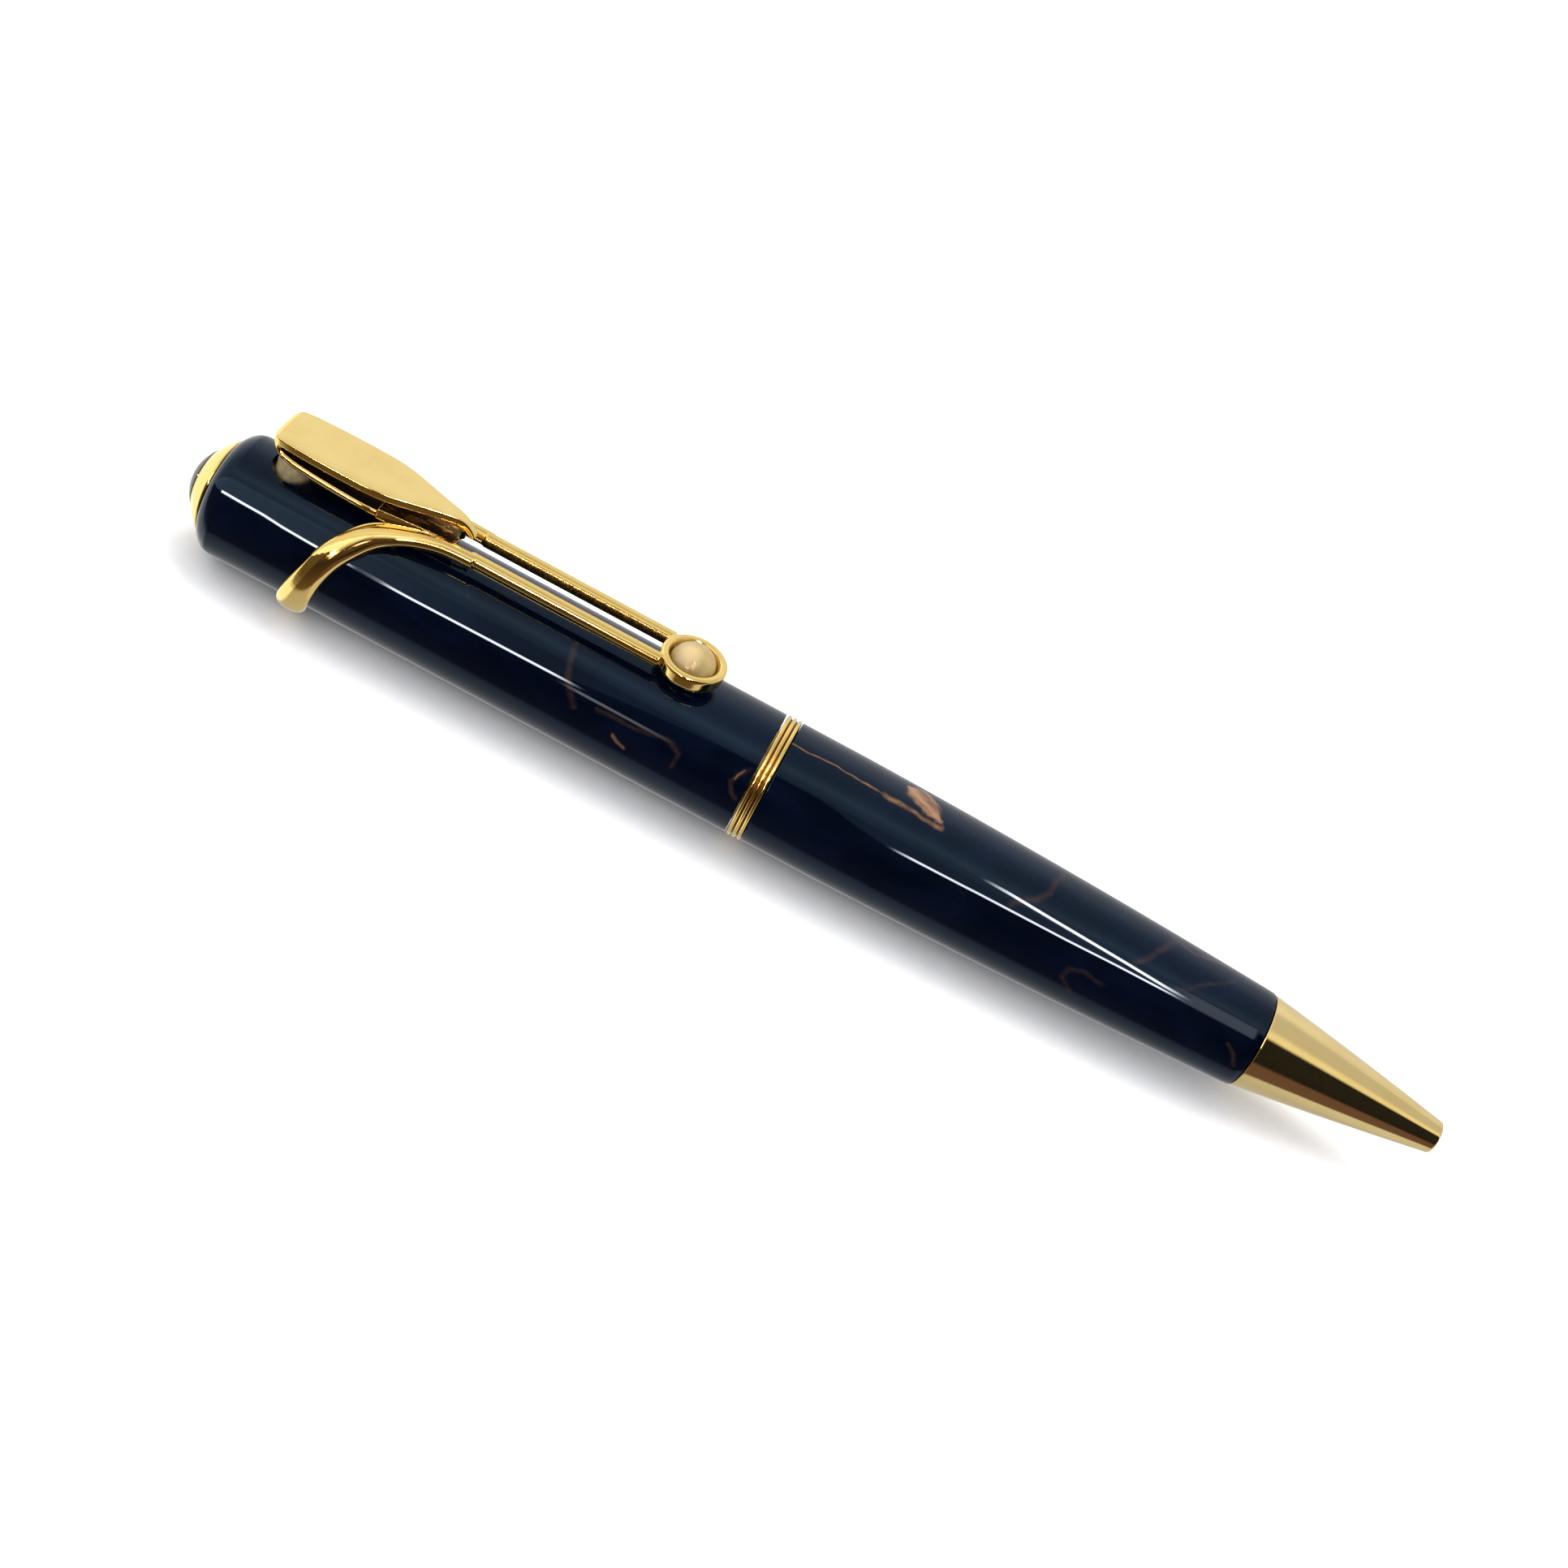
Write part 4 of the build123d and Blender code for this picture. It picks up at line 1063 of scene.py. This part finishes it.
def surroundings():
    """Soft room: pale to the camera, even light to matt surfaces, and for reflections a bright ceiling,
    a dark side towards the camera with a few thin lamps, and a pale table below."""
    world = bpy.data.worlds.new("studio")
    world.use_nodes = True
    bpy.context.scene.world = world
    g = Graph(world.node_tree)
    nodes = g.tree.nodes
    nodes.clear()
    out = nodes.new("ShaderNodeOutputWorld")
    direction = nodes.new("ShaderNodeTexCoord").outputs["Generated"]

    def table(value, low, high, stops, scale=1.0, offset=0.0):
        """Value looked up between stops; numbers are stored as (number - offset) / scale."""
        share = g.math("DIVIDE", g.math("SUBTRACT", value, low), high - low)
        ramp = nodes.new("ShaderNodeValToRGB")
        g.put(ramp, 0, share)
        elements = ramp.color_ramp.elements
        elements.remove(elements[-1])
        for i, (key, number) in enumerate(stops):
            colour = number if isinstance(number, tuple) else ((number - offset) / scale,) * 3
            place = (key - low) / (high - low)
            element = elements[0] if i == 0 else elements.new(place)
            element.position = place
            element.color = rgba(*colour)
        if scale == 1.0 and offset == 0.0:
            return ramp.outputs[0]
        return g.math("ADD", g.math("MULTIPLY", ramp.outputs[0], scale), offset)

    def along(vector):
        return g.vector("DOT_PRODUCT", direction, vector)

    def add(colour, amount, tint=(1.0, 1.0, 1.0)):
        node = nodes.new("ShaderNodeVectorMath")
        node.operation = "MULTIPLY_ADD"
        for key, value in enumerate((amount, tint, colour)):
            g.put(node, key, value)
        return node.outputs[0]

    def background(colour, strength):
        node = nodes.new("ShaderNodeBackground")
        g.put(node, 0, colour)
        g.put(node, 1, strength)
        return node.outputs[0]

    def choose(ray, otherwise, chosen):
        node = nodes.new("ShaderNodeMixShader")
        for key, value in enumerate((path.outputs[ray], otherwise, chosen)):
            g.put(node, key, value)
        return node.outputs[0]

    toward = (0, -math.cos(VIEW_ELEVATION), math.sin(VIEW_ELEVATION))
    above = (0, math.sin(VIEW_ELEVATION), math.cos(VIEW_ELEVATION))
    turn = g.math("MULTIPLY", g.math("ARCTAN2", along(above), along(toward)), 180 / math.pi)
    share = along((1, 0, 0))
    room = table(turn, -180, 180, ROOM_STOPS)
    front = table(turn, -180, 180, FRONT_STOPS)
    back = table(turn, -180, 180, BACK_STOPS)
    light = g.mix(g.ramp(share, 0.36, 0.46), room, front)
    light = g.mix(g.ramp(share, -0.46, -0.34, 1.0, 0.0), light, back)
    edge = table(share, -0.5, 0.5, CEILING_EDGE, 80.0, -40.0)
    above_edge = g.math("SUBTRACT", turn, edge)
    glow = g.math("MULTIPLY", g.ramp(above_edge, -1.2, 1.2), g.ramp(turn, 15.0, 24.0, 1.0, 0.0))
    glow = g.math("MULTIPLY", glow, table(share, -0.5, 0.5, CEILING, 1.5, 0.0))
    glow = g.math("MULTIPLY", glow, g.ramp(share, 0.36, 0.46, 1.0, 0.0))
    light = add(light, glow)
    for centres, strengths, half in LAMPS:
        middle = table(share, -0.5, 0.5, centres, 80.0, -40.0)
        away = g.math("ABSOLUTE", g.math("SUBTRACT", turn, middle))
        lamp = g.math("MULTIPLY", g.ramp(away, half - 0.6, half + 0.6, LAMP_RADIANCE, 0.0),
                         table(share, -0.5, 0.5, strengths))
        light = add(light, lamp, (1.9, 1.3, 1.0))
    glossy = background(light, 1.0)
    even = background(rgba(0.96, 0.97, 1.0), 1.55)
    backdrop = background(rgba(0.94, 0.95, 0.96), 1.0)
    path = nodes.new("ShaderNodeLightPath")
    lit = choose("Is Glossy Ray", even, glossy)
    g.put(out, 0, choose("Is Camera Ray", lit, backdrop))


def studio():
    camera()
    floor()
    surroundings()
    softbox()
    bpy.context.scene.view_settings.view_transform = "Standard"


build()
dress_cad_nodes()
studio()
